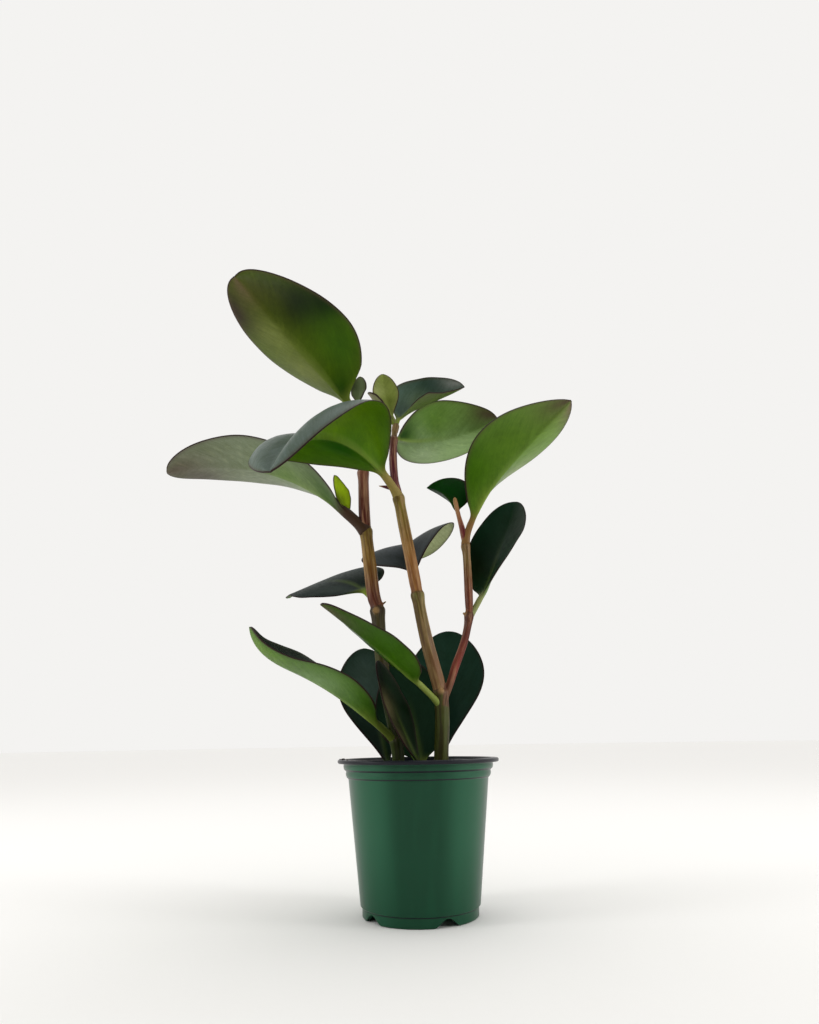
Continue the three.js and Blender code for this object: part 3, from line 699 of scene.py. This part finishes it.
def applied(bm, *modifiers):
    """The mesh of bm after these modifiers, each a type and its settings."""
    mesh = meshed("working", bm)
    worker = placed("working", mesh)
    for kind, settings in modifiers:
        modifier = worker.modifiers.new(kind.title(), kind)
        for key, value in settings.items():
            setattr(modifier, key, value)
    seen = worker.evaluated_get(bpy.context.evaluated_depsgraph_get())
    result = bpy.data.meshes.new_from_object(seen)
    bpy.data.objects.remove(worker)
    bpy.data.meshes.remove(mesh)
    return result


def direction(heading, rise):
    h, e = math.radians(heading), math.radians(rise)
    return Vector((math.cos(h) * math.cos(e), math.sin(h) * math.cos(e), math.sin(e)))


def smoothstep(value, low, high):
    x = min(1.0, max(0.0, (value - low) / (high - low)))
    return x * x * (3 - 2 * x)


def hump(value, reach, power=2):
    """1 in the middle, falling off softly around the distance reach."""
    return math.exp(-((value / reach) ** power))


def sleeve(bm, rings, around, place, facts):
    """Rolls a grid into a closed sleeve: place(ring, step) gives a point and its named facts."""
    kinds = bm.verts.layers
    layers = {
        fact: (kinds.float if output == "Fac" else kinds.float_vector).new(fact)
        for fact, output in facts.items()
    }
    made = bmesh.ops.create_grid(bm, x_segments=around, y_segments=rings, size=0.5)["verts"]
    for vert in made:
        ring = round((vert.co.y + 0.5) * rings)
        step = round((vert.co.x + 0.5) * around) % around
        vert.co, values = place(ring, step)
        for fact, value in values.items():
            vert[layers[fact]] = value
    bmesh.ops.remove_doubles(bm, verts=made, dist=1e-7)
    ends = [edge for edge in bm.edges if edge.is_boundary]
    bmesh.ops.holes_fill(bm, edges=ends, sides=0)


def spun(bm, profile, steps, merge):
    """Turns a profile of radii and heights in millimetres about the pot's axis."""
    chain = [bm.verts.new((radius * MM, 0, z * MM)) for radius, z in profile]
    edges = [bm.edges.new(pair) for pair in zip(chain, chain[1:])]
    bmesh.ops.spin(
        bm, geom=chain + edges, axis=UP, cent=(0, 0, 0), angle=2 * math.pi, steps=steps,
        use_merge=True, use_duplicate=False,
    )
    bmesh.ops.remove_doubles(bm, verts=bm.verts, dist=merge)


# ---------------------------------------------------------------- leaves
def blade_share(leaf, s):
    """Half width as a share of the greatest: pointed at the stalk and round at the tip."""
    if s <= 0:
        return 0.0
    stretched = min(1.0, s ** (math.log(0.5) / math.log(leaf["widest"])))
    return math.sin(math.pi * stretched) ** (1.1 - leaf["round_tip"] * stretched)


def midrib(leaf):
    """Place, upper side and right-hand side at equal steps along a leaf, in millimetres."""
    total = leaf["stalk"] + leaf["length"]
    place = Vector(leaf["at"])
    before = None
    steps = []
    for i in range(LEAF_STEPS + 1):
        t = i / LEAF_STEPS
        lift = max(0, (t - TIP_FROM) / (1 - TIP_FROM)) ** 2
        rise = leaf["rise"] - leaf["droop"] * t ** leaf["late"] + leaf["tip_up"] * lift
        heading = leaf["heading"] + leaf["swing"] * t
        along = direction(heading, rise)
        if before:
            place = place + (before + along) * (total / LEAF_STEPS / 2)
        turn = Matrix.Rotation(math.radians(leaf["roll"] + leaf["twist"] * t), 3, along)
        upper = turn @ direction(heading, rise + 90)
        steps.append((place.copy(), upper, along.cross(upper)))
        before = along
    return steps


def along_rib(steps, t):
    """Midrib interpolated at t from 0 to 1."""
    i = min(LEAF_STEPS - 1, int(t * LEAF_STEPS))
    share = t * LEAF_STEPS - i
    place, upper, right = (a.lerp(b, share) for a, b in zip(steps[i], steps[i + 1]))
    return place, upper.normalized(), right.normalized()


def blade_tone(leaf, shared, u, s, side):
    """Body colour of a place on the blade: that of its face, with the patches of the seen face: its
    own blotches and blush, and painted sheen and shade.
    """
    tone = Vector(linear(leaf["upper"] if side > 0 else leaf["under"]))
    for across, along, reach, colour in leaf["blotches_and_painted_light"] if side == leaf["seen"] else ():
        aside = (u - across) * leaf["width"] / 2
        ahead = (s - along) * leaf["length"]
        own_half = smoothstep(u if across > 0 else -u, -0.05, 0.04)
        share = math.exp(-(aside**2 + ahead**2) / reach**2) * (1 - leaf["halved"] * (1 - own_half))
        tone = tone.lerp(Vector(linear(colour)), share)
    return Vector([max(0.001, value * shared.depth - shared.wax) for value in tone])


def leaf_shape(name, leaf, shared):
    """One leaf from its stalk to its tip, as a closed sleeve flattened into a blade."""
    bm = bmesh.new()
    steps = midrib(leaf)
    total = leaf["stalk"] + leaf["length"]
    around = 2 * HALF_AROUND
    fold = math.radians(leaf["fold"])
    edge, middle = shared.edge_thickness / MM, shared.blade_thickness / MM
    random.seed(name)
    phases = [random.uniform(0, 2 * math.pi) for _ in range(4)]

    def place(ring, step):
        # s counts from 0 to 1 along the blade, t along the whole leaf, u from -1 to 1 across
        if ring < STALK_RINGS:
            s = 0.0
            t = leaf["stalk"] / total * ring / STALK_RINGS
        else:
            k = (ring - STALK_RINGS) / BLADE_RINGS
            s = 0.5 * k + 0.5 * (1 - math.cos(math.pi * k)) / 2
            t = (leaf["stalk"] + s * leaf["length"]) / total
        centre, up, right = along_rib(steps, min(t, 1.0))
        side = 1 if step <= HALF_AROUND else -1
        angle = math.pi * (1 - (step if side > 0 else around - step) / HALF_AROUND)
        u = math.cos(angle)
        half = max(leaf["width"] / 2 * blade_share(leaf, s), LEAST_HALF)
        width = abs(u) * half
        radius = leaf["stalk_radius"] * (1 - STALK_TAPER * s)
        radius *= 1 + STALK_FLARE * hump(t * total, FLARE_LENGTH)
        flat = smoothstep(s, 0, FLAT_FROM)
        # the midrib stands out underneath and lies in a groove above
        if side < 0:
            relief = RIB_HEIGHT * (1 - s) * hump(u * half, RIB_HEIGHT + 0.05 * half)
        else:
            relief = GROOVE_DEPTH * (1 - s) * hump(u * half, GROOVE_REACH)
        thick = middle + (edge - middle) * abs(u)
        rounding = math.sqrt(max(0.0, 1 - abs(u) ** EDGE_POWER))
        rounded = math.sin(fold) * abs(u) ** 1.3 + leaf["bulge"] * math.sin(math.pi * abs(u))
        ripple = math.sin(5 * s * math.pi + phases[u > 0])
        ripple += 0.6 * math.sin(9 * s * math.pi + phases[2])
        lift = half * rounded - thick / 2 + side * rounding * thick / 2 - relief
        lift += shared.wave / MM * ripple * abs(u) ** 3 * smoothstep(s, 0.1, 0.3)
        # the round stalk flattens into the blade
        stalk_x, stalk_z = radius * math.cos(angle), radius * math.sin(angle) * side
        x = stalk_x + (half * math.cos(fold) * u - stalk_x) * flat
        z = stalk_z + (lift - stalk_z) * flat
        # side veins leave the midrib at a slant and bend towards the tip
        curl = s * leaf["length"] - width * (1.1 + 0.025 * width)
        face = 1.0 if side < 0 else 0.5
        vein = max(0.0, math.cos(curl * 2 * math.pi / VEIN_SPACING)) ** 6
        facts = {
            "blade": Vector((u * half, s * leaf["length"], curl + FACES_APART * side)),
            "tone": blade_tone(leaf, shared, u, s, side),
            "near": (1 - abs(u)) * half + STALK_FROM_EDGE * (1 - flat),
            "rib": hump(width, 0.6 + 1.2 * (1 - s)) * (1 - smoothstep(s, 0.1, 0.7)) * flat
            * (1.0 if side < 0 else 0.3),
            "stalk": 1 - smoothstep(s, 0.0, 0.12),
            "vein": vein * smoothstep(width, 1, 5) * (1 - smoothstep(abs(u), 0.6, 0.9)) * face,
        }
        return (centre + right * x + up * z) * MM, facts

    sleeve(bm, STALK_RINGS + BLADE_RINGS, around, place, LEAF_FACTS)
    bmesh.ops.recalc_face_normals(bm, faces=bm.faces)
    return bm


def build_leaves(context, young):
    """All young leaves, or all full-sized ones."""
    shared = context.scene.peperomia_leaves
    for name, row in LEAVES.items():
        if row.get("young", False) == young:
            leaf = {**LEAF_FORM, **row}
            finish = peperomia_leaf("living_" + name, leaf, shared)
            mesh = meshed(name + "_grown", leaf_shape(name, leaf, shared))
            keep(name + "_grown", mesh, [finish], name)


# ---------------------------------------------------------------- stems
def centre_line(points):
    """Points at about equal steps through a stem: place, radius, colour and distance to a node."""
    places = [Vector(point[:3]) for point in points]
    ends = [2 * places[0] - places[1], *places, 2 * places[-1] - places[-2]]
    line = []
    for i in range(len(places) - 1):
        a, b, c, d = ends[i : i + 4]
        length = (c - b).length
        parts = max(1, round(length / STEM_STEP))
        first, second = (Vector(linear(point[4])) for point in points[i : i + 2])
        for k in range(parts + (i == len(places) - 2)):
            s = k / parts
            place = 0.5 * (2 * b + (c - a) * s + (2 * a - 5 * b + 4 * c - d) * s**2
                           + (3 * b - a - 3 * c + d) * s**3)
            # an internode has its own colour from right above the node
            share = smoothstep(s * length, 0.4, 2.2) if len(points[i]) > 5 else s
            radius = points[i][3] + (points[i + 1][3] - points[i][3]) * s
            line.append([place, radius, first.lerp(second, share), 99.0])
    nodes = [Vector(point[:3]) for point in points if len(point) > 5]
    for row in line:
        nearest = min(nodes, key=lambda node: (row[0] - node).length)
        row[3] = (row[0] - nearest).length * (1 if row[0].z > nearest.z else -1)
    return line


def node_swell(past):
    """Swelling at a distance past a node: long below it, with a short step and a waist above."""
    if past < 0:
        return NODE_SWELL * hump(past, 4.5)
    return NODE_SWELL * hump(past, 1.1) - 0.25 * hump(past - 3, 3)


def add_stem(bm, points, ridge_height):
    line = centre_line(points)

    def place(ring, step):
        centre, radius, _, past = line[ring]
        along = (line[min(ring + 1, len(line) - 1)][0] - line[max(ring - 1, 0)][0]).normalized()
        side = Vector((0, 1, 0)).cross(along).normalized()
        angle = 2 * math.pi * step / STEM_AROUND
        out = side * math.cos(angle) + along.cross(side) * math.sin(angle)
        ridge = math.sin(5 * angle + 0.02 * centre.z) + 0.5 * math.sin(9 * angle + 1)
        reach = radius + node_swell(past) + ridge_height / MM * ridge * min(1.0, radius / 3)
        return (centre + out * reach) * MM, {}

    sleeve(bm, len(line) - 1, STEM_AROUND, place, {})
    return line


def add_stub(bm, stub):
    at, heading, rise, reach, root, end = stub
    out = direction(heading, rise)
    turn = out.to_track_quat("Z", "Y").to_matrix().to_4x4()
    middle = Vector(at) + out * reach / 2
    bmesh.ops.create_cone(
        bm, cap_ends=True, segments=20, radius1=root * MM, radius2=end * MM, depth=reach * MM,
        matrix=Matrix.Translation(middle * MM) @ turn,
    )


def mark_stem(mesh, lines, stubs, striped_from):
    """Gives every point of a stem its place along the grain, its colour and its node marks."""
    rows = [row for line in lines for row in line]
    tree = KDTree(len(rows))
    for i, row in enumerate(rows):
        tree.insert(row[0] * MM, i)
    tree.balance()
    for fact, output in STEM_FACTS.items():
        mesh.attributes.new(fact, "FLOAT" if output == "Fac" else "FLOAT_VECTOR", "POINT")
    grain, tone, striped, collar, scar = (mesh.attributes[fact].data for fact in STEM_FACTS)
    tips = [
        Vector(at) + direction(heading, rise) * reach for at, heading, rise, reach, _, _ in stubs
    ]
    for i, vert in enumerate(mesh.vertices):
        centre, _, colour, past = rows[tree.find(vert.co)[1]]
        here = vert.co / MM
        out = here - centre
        grain[i].vector = (out.x, out.y, here.z * GRAIN_ALONG)
        tone[i].vector = colour
        striped[i].value = smoothstep(here.z, striped_from, striped_from + STRIPES_OVER)
        collar[i].value = hump(past - 0.9, 0.8)
        scar[i].value = max(hump((here - tip).length, SCAR_REACH, 4) for tip in tips)


def build_stem(context, name, chains, stubs, striped_from):
    shared = context.scene.peperomia_stems
    bm = bmesh.new()
    lines = [add_stem(bm, chain, shared.ridge) for chain in chains]
    for stub in stubs:
        add_stub(bm, stub)
    bmesh.ops.recalc_face_normals(bm, faces=bm.faces)
    # a voxel grid fuses trunk, branch and stubs into one grown body, and smoothing fills its forks
    mesh = applied(
        bm, ("REMESH", {"mode": "VOXEL", "voxel_size": 0.00042}),
        ("SMOOTH", {"factor": 0.5, "iterations": 6}),
    )
    mark_stem(mesh, lines, stubs, striped_from)
    keep(name + "_grown", mesh, [peperomia_stem("living_" + name, shared.streak)], name)


# ---------------------------------------------------------------- pot
def wall_radius(z):
    return HEEL[0] + (WALL_TOP[0] - HEEL[0]) / (WALL_TOP[1] - HEEL[1]) * (z - HEEL[1])


def pot_profile(pot):
    """Half section of the pot from the middle of its base, up the outside and down the inside."""
    top, lip, wall = pot.height / MM, pot.rim_radius / MM, pot.wall / MM
    upper, lower = lip - UPPER_BAND_IN, lip - LOWER_BAND_IN
    z = WALL_TOP[1]
    under = top - LIP_THICKNESS
    outside = [
        (0.001, 0), (9, 0), (11, 4.2), (31.1, 4.2), (32.3, 0), (34.2, 0), (34.9, 0.7), (35, 5.4),
        (35.6, 5.9), HEEL, WALL_TOP, (lower - 1.1, z + 0.35), (lower - 0.4, z + 1),
        (lower, z + 1.9), (lower + 0.2, z + 3), (lower, z + 4.1), (lower + 0.1, z + 4.7),
        (upper - 0.9, z + 5.1), (upper - 0.25, z + 5.7), (upper, z + 6.6), (upper + 0.15, z + 7.6),
        (upper, z + 8.6), (upper + 0.3, under - 0.2), (upper + 1, under), (lip - 0.5, under),
        (lip, under + 0.6), (lip, top - 0.6), (lip - 0.6, top), (upper - 0.4, top),
    ]
    inside = [
        (upper - wall, top - 1), (upper - wall, z + 6.4), (lower - wall, z + 4.6),
        (lower - wall, z + 1.9), (WALL_TOP[0] - wall, z), (HEEL[0] - wall, HEEL[1] + wall),
        (HEEL[0] - wall - 0.6, FLOOR_TOP), (0.001, FLOOR_TOP),
    ]
    return outside + inside


def arch_cutters():
    """Drain arches: a bent outline pushed through the foot at each heading."""
    bm = bmesh.new()
    for heading in ARCH_HEADINGS:
        outline = []
        for k in range(ARCH_POINTS + 1):
            x = -1 + 2 * k / ARCH_POINTS
            height = ARCH_HEIGHT * math.cos(math.pi * x / 2) ** 1.6 - ARCH_START * abs(x)
            outline.append(bm.verts.new((x * ARCH_HALF * MM, ARCH_FROM, height * MM)))
        face = bm.faces.new(outline)
        pushed = bmesh.ops.extrude_face_region(bm, geom=[face])["geom"]
        moved = [item for item in pushed if isinstance(item, bmesh.types.BMVert)]
        bmesh.ops.translate(bm, verts=moved, vec=(0, ARCH_DEPTH, 0))
        turn = Matrix.Rotation(math.radians(heading - 90), 4, "Z")
        bmesh.ops.transform(bm, matrix=turn, verts=outline + moved)
    bmesh.ops.recalc_face_normals(bm, faces=bm.faces)
    return placed("arches", meshed("arches", bm))


def build_pot(context):
    pot = context.scene.peperomia_pot
    bm = bmesh.new()
    spun(bm, pot_profile(pot), 180, 0.00003)
    bmesh.ops.recalc_face_normals(bm, faces=bm.faces)
    cutter = arch_cutters()
    mesh = applied(
        bm, ("BOOLEAN", {"operation": "DIFFERENCE", "solver": "EXACT", "object": cutter}),
        ("BEVEL", {"width": 0.00025, "segments": 2, "limit_method": "ANGLE",
                   "angle_limit": math.radians(28), "use_clamp_overlap": True}),
    )
    bpy.data.objects.remove(cutter)
    # the green sheet gets painted highlight bands, the black one none
    green = formed_polypropylene("green_polypropylene_sheet", pot.outside, 0.3, 0.95)
    black = formed_polypropylene("black_polypropylene_sheet", pot.inside, 0.34, 0.0)
    keep("pot_formed", mesh, [green, black], "pot")
    # the sheet is black inside and on the lip
    lip = (pot.height / MM - LIP_THICKNESS - 0.05, pot.rim_radius / MM - UPPER_BAND_IN - 0.7)
    for face in mesh.polygons:
        z = face.center.z / MM
        radius = math.hypot(face.center.x, face.center.y) / MM
        is_lip = z > lip[0] and radius > lip[1]
        in_wall = z > UNDER_FLOOR and radius < wall_radius(z) - 0.6 * pot.wall / MM
        in_band = z > BANDS_FROM and radius < (
            LOWER_BAND_INSIDE if z < BANDS_MEET else UPPER_BAND_INSIDE
        )
        face.material_index = 1 if is_lip or in_wall or in_band else 0


# ---------------------------------------------------------------- soil
def soil_relief(x, y):
    coarse = math.sin(0.21 * x + 1.3) * math.cos(0.18 * y - 0.4)
    fine = 0.6 * math.sin(0.47 * x - 0.52 * y) * math.cos(0.39 * x + 0.31 * y + 2)
    return coarse + fine


def build_soil(context):
    soil = context.scene.peperomia_soil
    random.seed("potting mix")
    bm = bmesh.new()
    perlite = bm.verts.layers.float.new("perlite")
    level = soil.level / MM
    edge = wall_radius(WALL_TOP[1]) - SOIL_IN
    base = (*SOIL_BASE, (edge, WALL_TOP[1]))
    top = [(max(0.001, edge * (1 - k / SOIL_RINGS)), level) for k in range(1, SOIL_RINGS + 1)]
    spun(bm, (*base, *top), 160, 0.00002)
    for vert in bm.verts:
        if vert.co.z > soil.level - 0.2 * MM:
            x, y = vert.co.x / MM, vert.co.y / MM
            grit = noise.fractal(Vector((x, y, 7.0)) * 0.55, 0.6, 2.0, 4)
            vert.co.z += soil.relief * soil_relief(x, y) + GRIT_HEIGHT * MM * grit
    for k in range(soil.crumbs):
        turn, reach = random.uniform(0, 2 * math.pi), edge * math.sqrt(random.random()) * 0.97
        x, y = reach * math.cos(turn), reach * math.sin(turn)
        z = level + soil.relief / MM * soil_relief(x, y) + 0.2
        pale = 1.0 if k < PERLITE_GRAINS else 0.0
        size = random.uniform(0.8, 1.3) if pale else random.uniform(0.4, 1.7)
        add_crumb(bm, (x, y, z), size, perlite, pale)
    # a few crumbs were left lying on the lip, at the left of the rim
    for _ in range(LIP_CRUMBS):
        turn = math.radians(random.uniform(*LIP_CRUMB_HEADINGS))
        reach = random.uniform(*LIP_CRUMB_RADII)
        spot = (reach * math.cos(turn), reach * math.sin(turn), LIP_CRUMB_HEIGHT)
        add_crumb(bm, spot, random.uniform(0.3, 0.8), perlite, 0.0)
    bmesh.ops.recalc_face_normals(bm, faces=bm.faces)
    finish = potting_mix("moist_potting_mix", soil.peat, soil.bark)
    keep("soil_filled", meshed("soil_filled", bm), [finish], "soil")


def add_crumb(bm, spot, size, layer, pale):
    """One loose bit of the mix: a lump of a few faces, stretched and turned at random."""
    made = bmesh.ops.create_icosphere(bm, subdivisions=1, radius=size * MM)["verts"]
    stretch = Matrix.Diagonal((random.uniform(0.6, 1.5), random.uniform(0.6, 1.2), 0.6, 1))
    angle = random.uniform(0, math.pi)
    turn = Matrix.Rotation(angle, 4, Vector((random.random(), random.random(), 1)))
    place = Matrix.Translation(Vector(spot) * MM)
    bmesh.ops.transform(bm, matrix=place @ turn @ stretch, verts=made)
    for vert in made:
        vert[layer] = pale


# ---------------------------------------------------------------- stage
def add_light(name, heading, rise, size, power):
    """A soft square light at a heading and rise from the point that it is aimed at."""
    lamp = bpy.data.lights.new(name, "AREA")
    lamp.shape = "RECTANGLE"
    lamp.size = lamp.size_y = size
    lamp.energy = power
    rig = placed(name, lamp)
    rig.location = LIGHT_AIM + direction(heading, rise) * LIGHT_DISTANCE
    rig.rotation_euler = (-direction(heading, rise)).to_track_quat("-Z", "Y").to_euler()


def add_flag():
    """A black card behind the camera, out of every picture, which keeps the pot's front dark."""
    bm = bmesh.new()
    place = Matrix.Translation(FLAG_PLACE) @ Matrix.Rotation(math.radians(90), 4, "X")
    bmesh.ops.create_grid(bm, size=1, matrix=place @ Matrix.Diagonal((*FLAG_HALVES, 1, 1)))
    mesh = meshed("black_flag", bm)
    material, tree = blank("black_flock_card")
    shader = add(tree, "BsdfDiffuse", {"Color": linear("#0C0C0C")})
    add(tree, "OutputMaterial", {"Surface": shader})
    mesh.materials.append(material)
    flag = placed("black_flag", mesh)
    flag.visible_camera = False


def add_camera(context, lens):
    camera = bpy.data.cameras.new("portrait")
    camera.lens = lens
    camera.clip_start = 0.01
    portrait = placed("portrait", camera)
    pitch, roll = math.radians(CAMERA_PITCH), math.radians(CAMERA_ROLL)
    ahead = Vector((0, math.cos(pitch), math.sin(pitch)))
    above = Vector((0, -math.sin(pitch), math.cos(pitch)))
    aside = Vector((1, 0, 0))
    right = aside * math.cos(roll) - above * math.sin(roll)
    up = above * math.cos(roll) + aside * math.sin(roll)
    turn = Matrix((right, up, -ahead)).transposed().to_4x4()
    portrait.matrix_world = Matrix.Translation(CAMERA_PLACE) @ turn
    context.scene.camera = portrait


def build_stage(context):
    stage = context.scene.peperomia_stage
    bm = bmesh.new()
    bmesh.ops.create_circle(bm, cap_ends=True, segments=96, radius=FLOOR_RADIUS)
    mesh = meshed("floor", bm)
    mesh.materials.append(studio_paper("seamless_paper", tuple(c * 0.98 for c in stage.paper)))
    floor = placed("floor", mesh)
    add_flag()

    world = bpy.data.worlds.new("studio")
    world.use_nodes = True
    backdrop = world.node_tree.nodes["Background"]
    backdrop.inputs["Color"].default_value = (*stage.paper, 1.0)
    backdrop.inputs["Strength"].default_value = 1.0
    context.scene.world = world

    add_light("side_light_left", 197, 14, 0.35, stage.side_light)
    add_light("side_light_right", -17, 14, 0.35, stage.side_light)
    add_light("top_light", 90, 80, 1.0, stage.top_light)
    sky = bpy.data.lights.new("even_light", "SUN")
    sky.energy = stage.even_light
    sky.angle = math.radians(120)
    placed("even_light", sky)
    add_camera(context, stage.lens)
    context.scene.view_settings.view_transform = "Standard"


# ---------------------------------------------------------------- operators
class PEPEROMIA_OT_pot(bpy.types.Operator):
    """Build the nursery pot with its lip, bands and drain arches"""

    bl_idname = "peperomia.pot"
    bl_label = "Pot"

    def execute(self, context):
        build_pot(context)
        return {"FINISHED"}


class PEPEROMIA_OT_soil(bpy.types.Operator):
    """Fill the pot with potting mix"""

    bl_idname = "peperomia.soil"
    bl_label = "Soil"

    def execute(self, context):
        build_soil(context)
        return {"FINISHED"}


class PEPEROMIA_OT_stems(bpy.types.Operator):
    """Grow the left stem, and the middle stem with its branch"""

    bl_idname = "peperomia.stems"
    bl_label = "Stems"

    def execute(self, context):
        build_stem(context, "stem_left", (LEFT_STEM,), LEFT_STUBS, LEFT_STRIPES)
        chains = (MIDDLE_STEM, RIGHT_BRANCH)
        build_stem(context, "stem_middle", chains, MIDDLE_STUBS, MIDDLE_STRIPES)
        return {"FINISHED"}


class PEPEROMIA_OT_leaves(bpy.types.Operator):
    """Grow the full-sized leaves"""

    bl_idname = "peperomia.leaves"
    bl_label = "Leaves"

    def execute(self, context):
        build_leaves(context, young=False)
        return {"FINISHED"}


class PEPEROMIA_OT_young_leaves(bpy.types.Operator):
    """Grow the small leaves at the tips and in the axils"""

    bl_idname = "peperomia.young_leaves"
    bl_label = "Young leaves"

    def execute(self, context):
        build_leaves(context, young=True)
        return {"FINISHED"}


class PEPEROMIA_OT_stage(bpy.types.Operator):
    """Set up the floor, the lights and the camera"""

    bl_idname = "peperomia.stage"
    bl_label = "Stage"

    def execute(self, context):
        build_stage(context)
        return {"FINISHED"}


OPERATORS = (
    PEPEROMIA_OT_stage,
    PEPEROMIA_OT_pot,
    PEPEROMIA_OT_soil,
    PEPEROMIA_OT_stems,
    PEPEROMIA_OT_leaves,
    PEPEROMIA_OT_young_leaves,
)
SETTINGS = {
    "peperomia_pot": PotSettings,
    "peperomia_soil": SoilSettings,
    "peperomia_stems": StemSettings,
    "peperomia_leaves": LeafSettings,
    "peperomia_stage": StageSettings,
}


class PEPEROMIA_PT_panel(bpy.types.Panel):
    """Sizes and colours, with a button for every group of pieces"""

    bl_idname = "PEPEROMIA_PT_panel"
    bl_label = "Potted Peperomia"
    bl_space_type = "VIEW_3D"
    bl_region_type = "UI"
    bl_category = "Peperomia"

    def draw(self, context):
        layout = self.layout
        for name, group in SETTINGS.items():
            box = layout.box()
            box.label(text=group.__doc__)
            for prop in group.__annotations__:
                box.prop(getattr(context.scene, name), prop)
        for operator in OPERATORS:
            layout.operator(operator.bl_idname)


def register():
    for group in SETTINGS.values():
        bpy.utils.register_class(group)
    for name, group in SETTINGS.items():
        setattr(bpy.types.Scene, name, PointerProperty(type=group))
    for operator in OPERATORS:
        bpy.utils.register_class(operator)
    bpy.utils.register_class(PEPEROMIA_PT_panel)


def unregister():
    bpy.utils.unregister_class(PEPEROMIA_PT_panel)
    for operator in reversed(OPERATORS):
        bpy.utils.unregister_class(operator)
    for name, group in SETTINGS.items():
        delattr(bpy.types.Scene, name)
        bpy.utils.unregister_class(group)


def main():
    """Builds everything."""
    register()
    for operator in OPERATORS:
        group, name = operator.bl_idname.split(".")
        getattr(getattr(bpy.ops, group), name)()


if __name__ == "__main__":
    main()
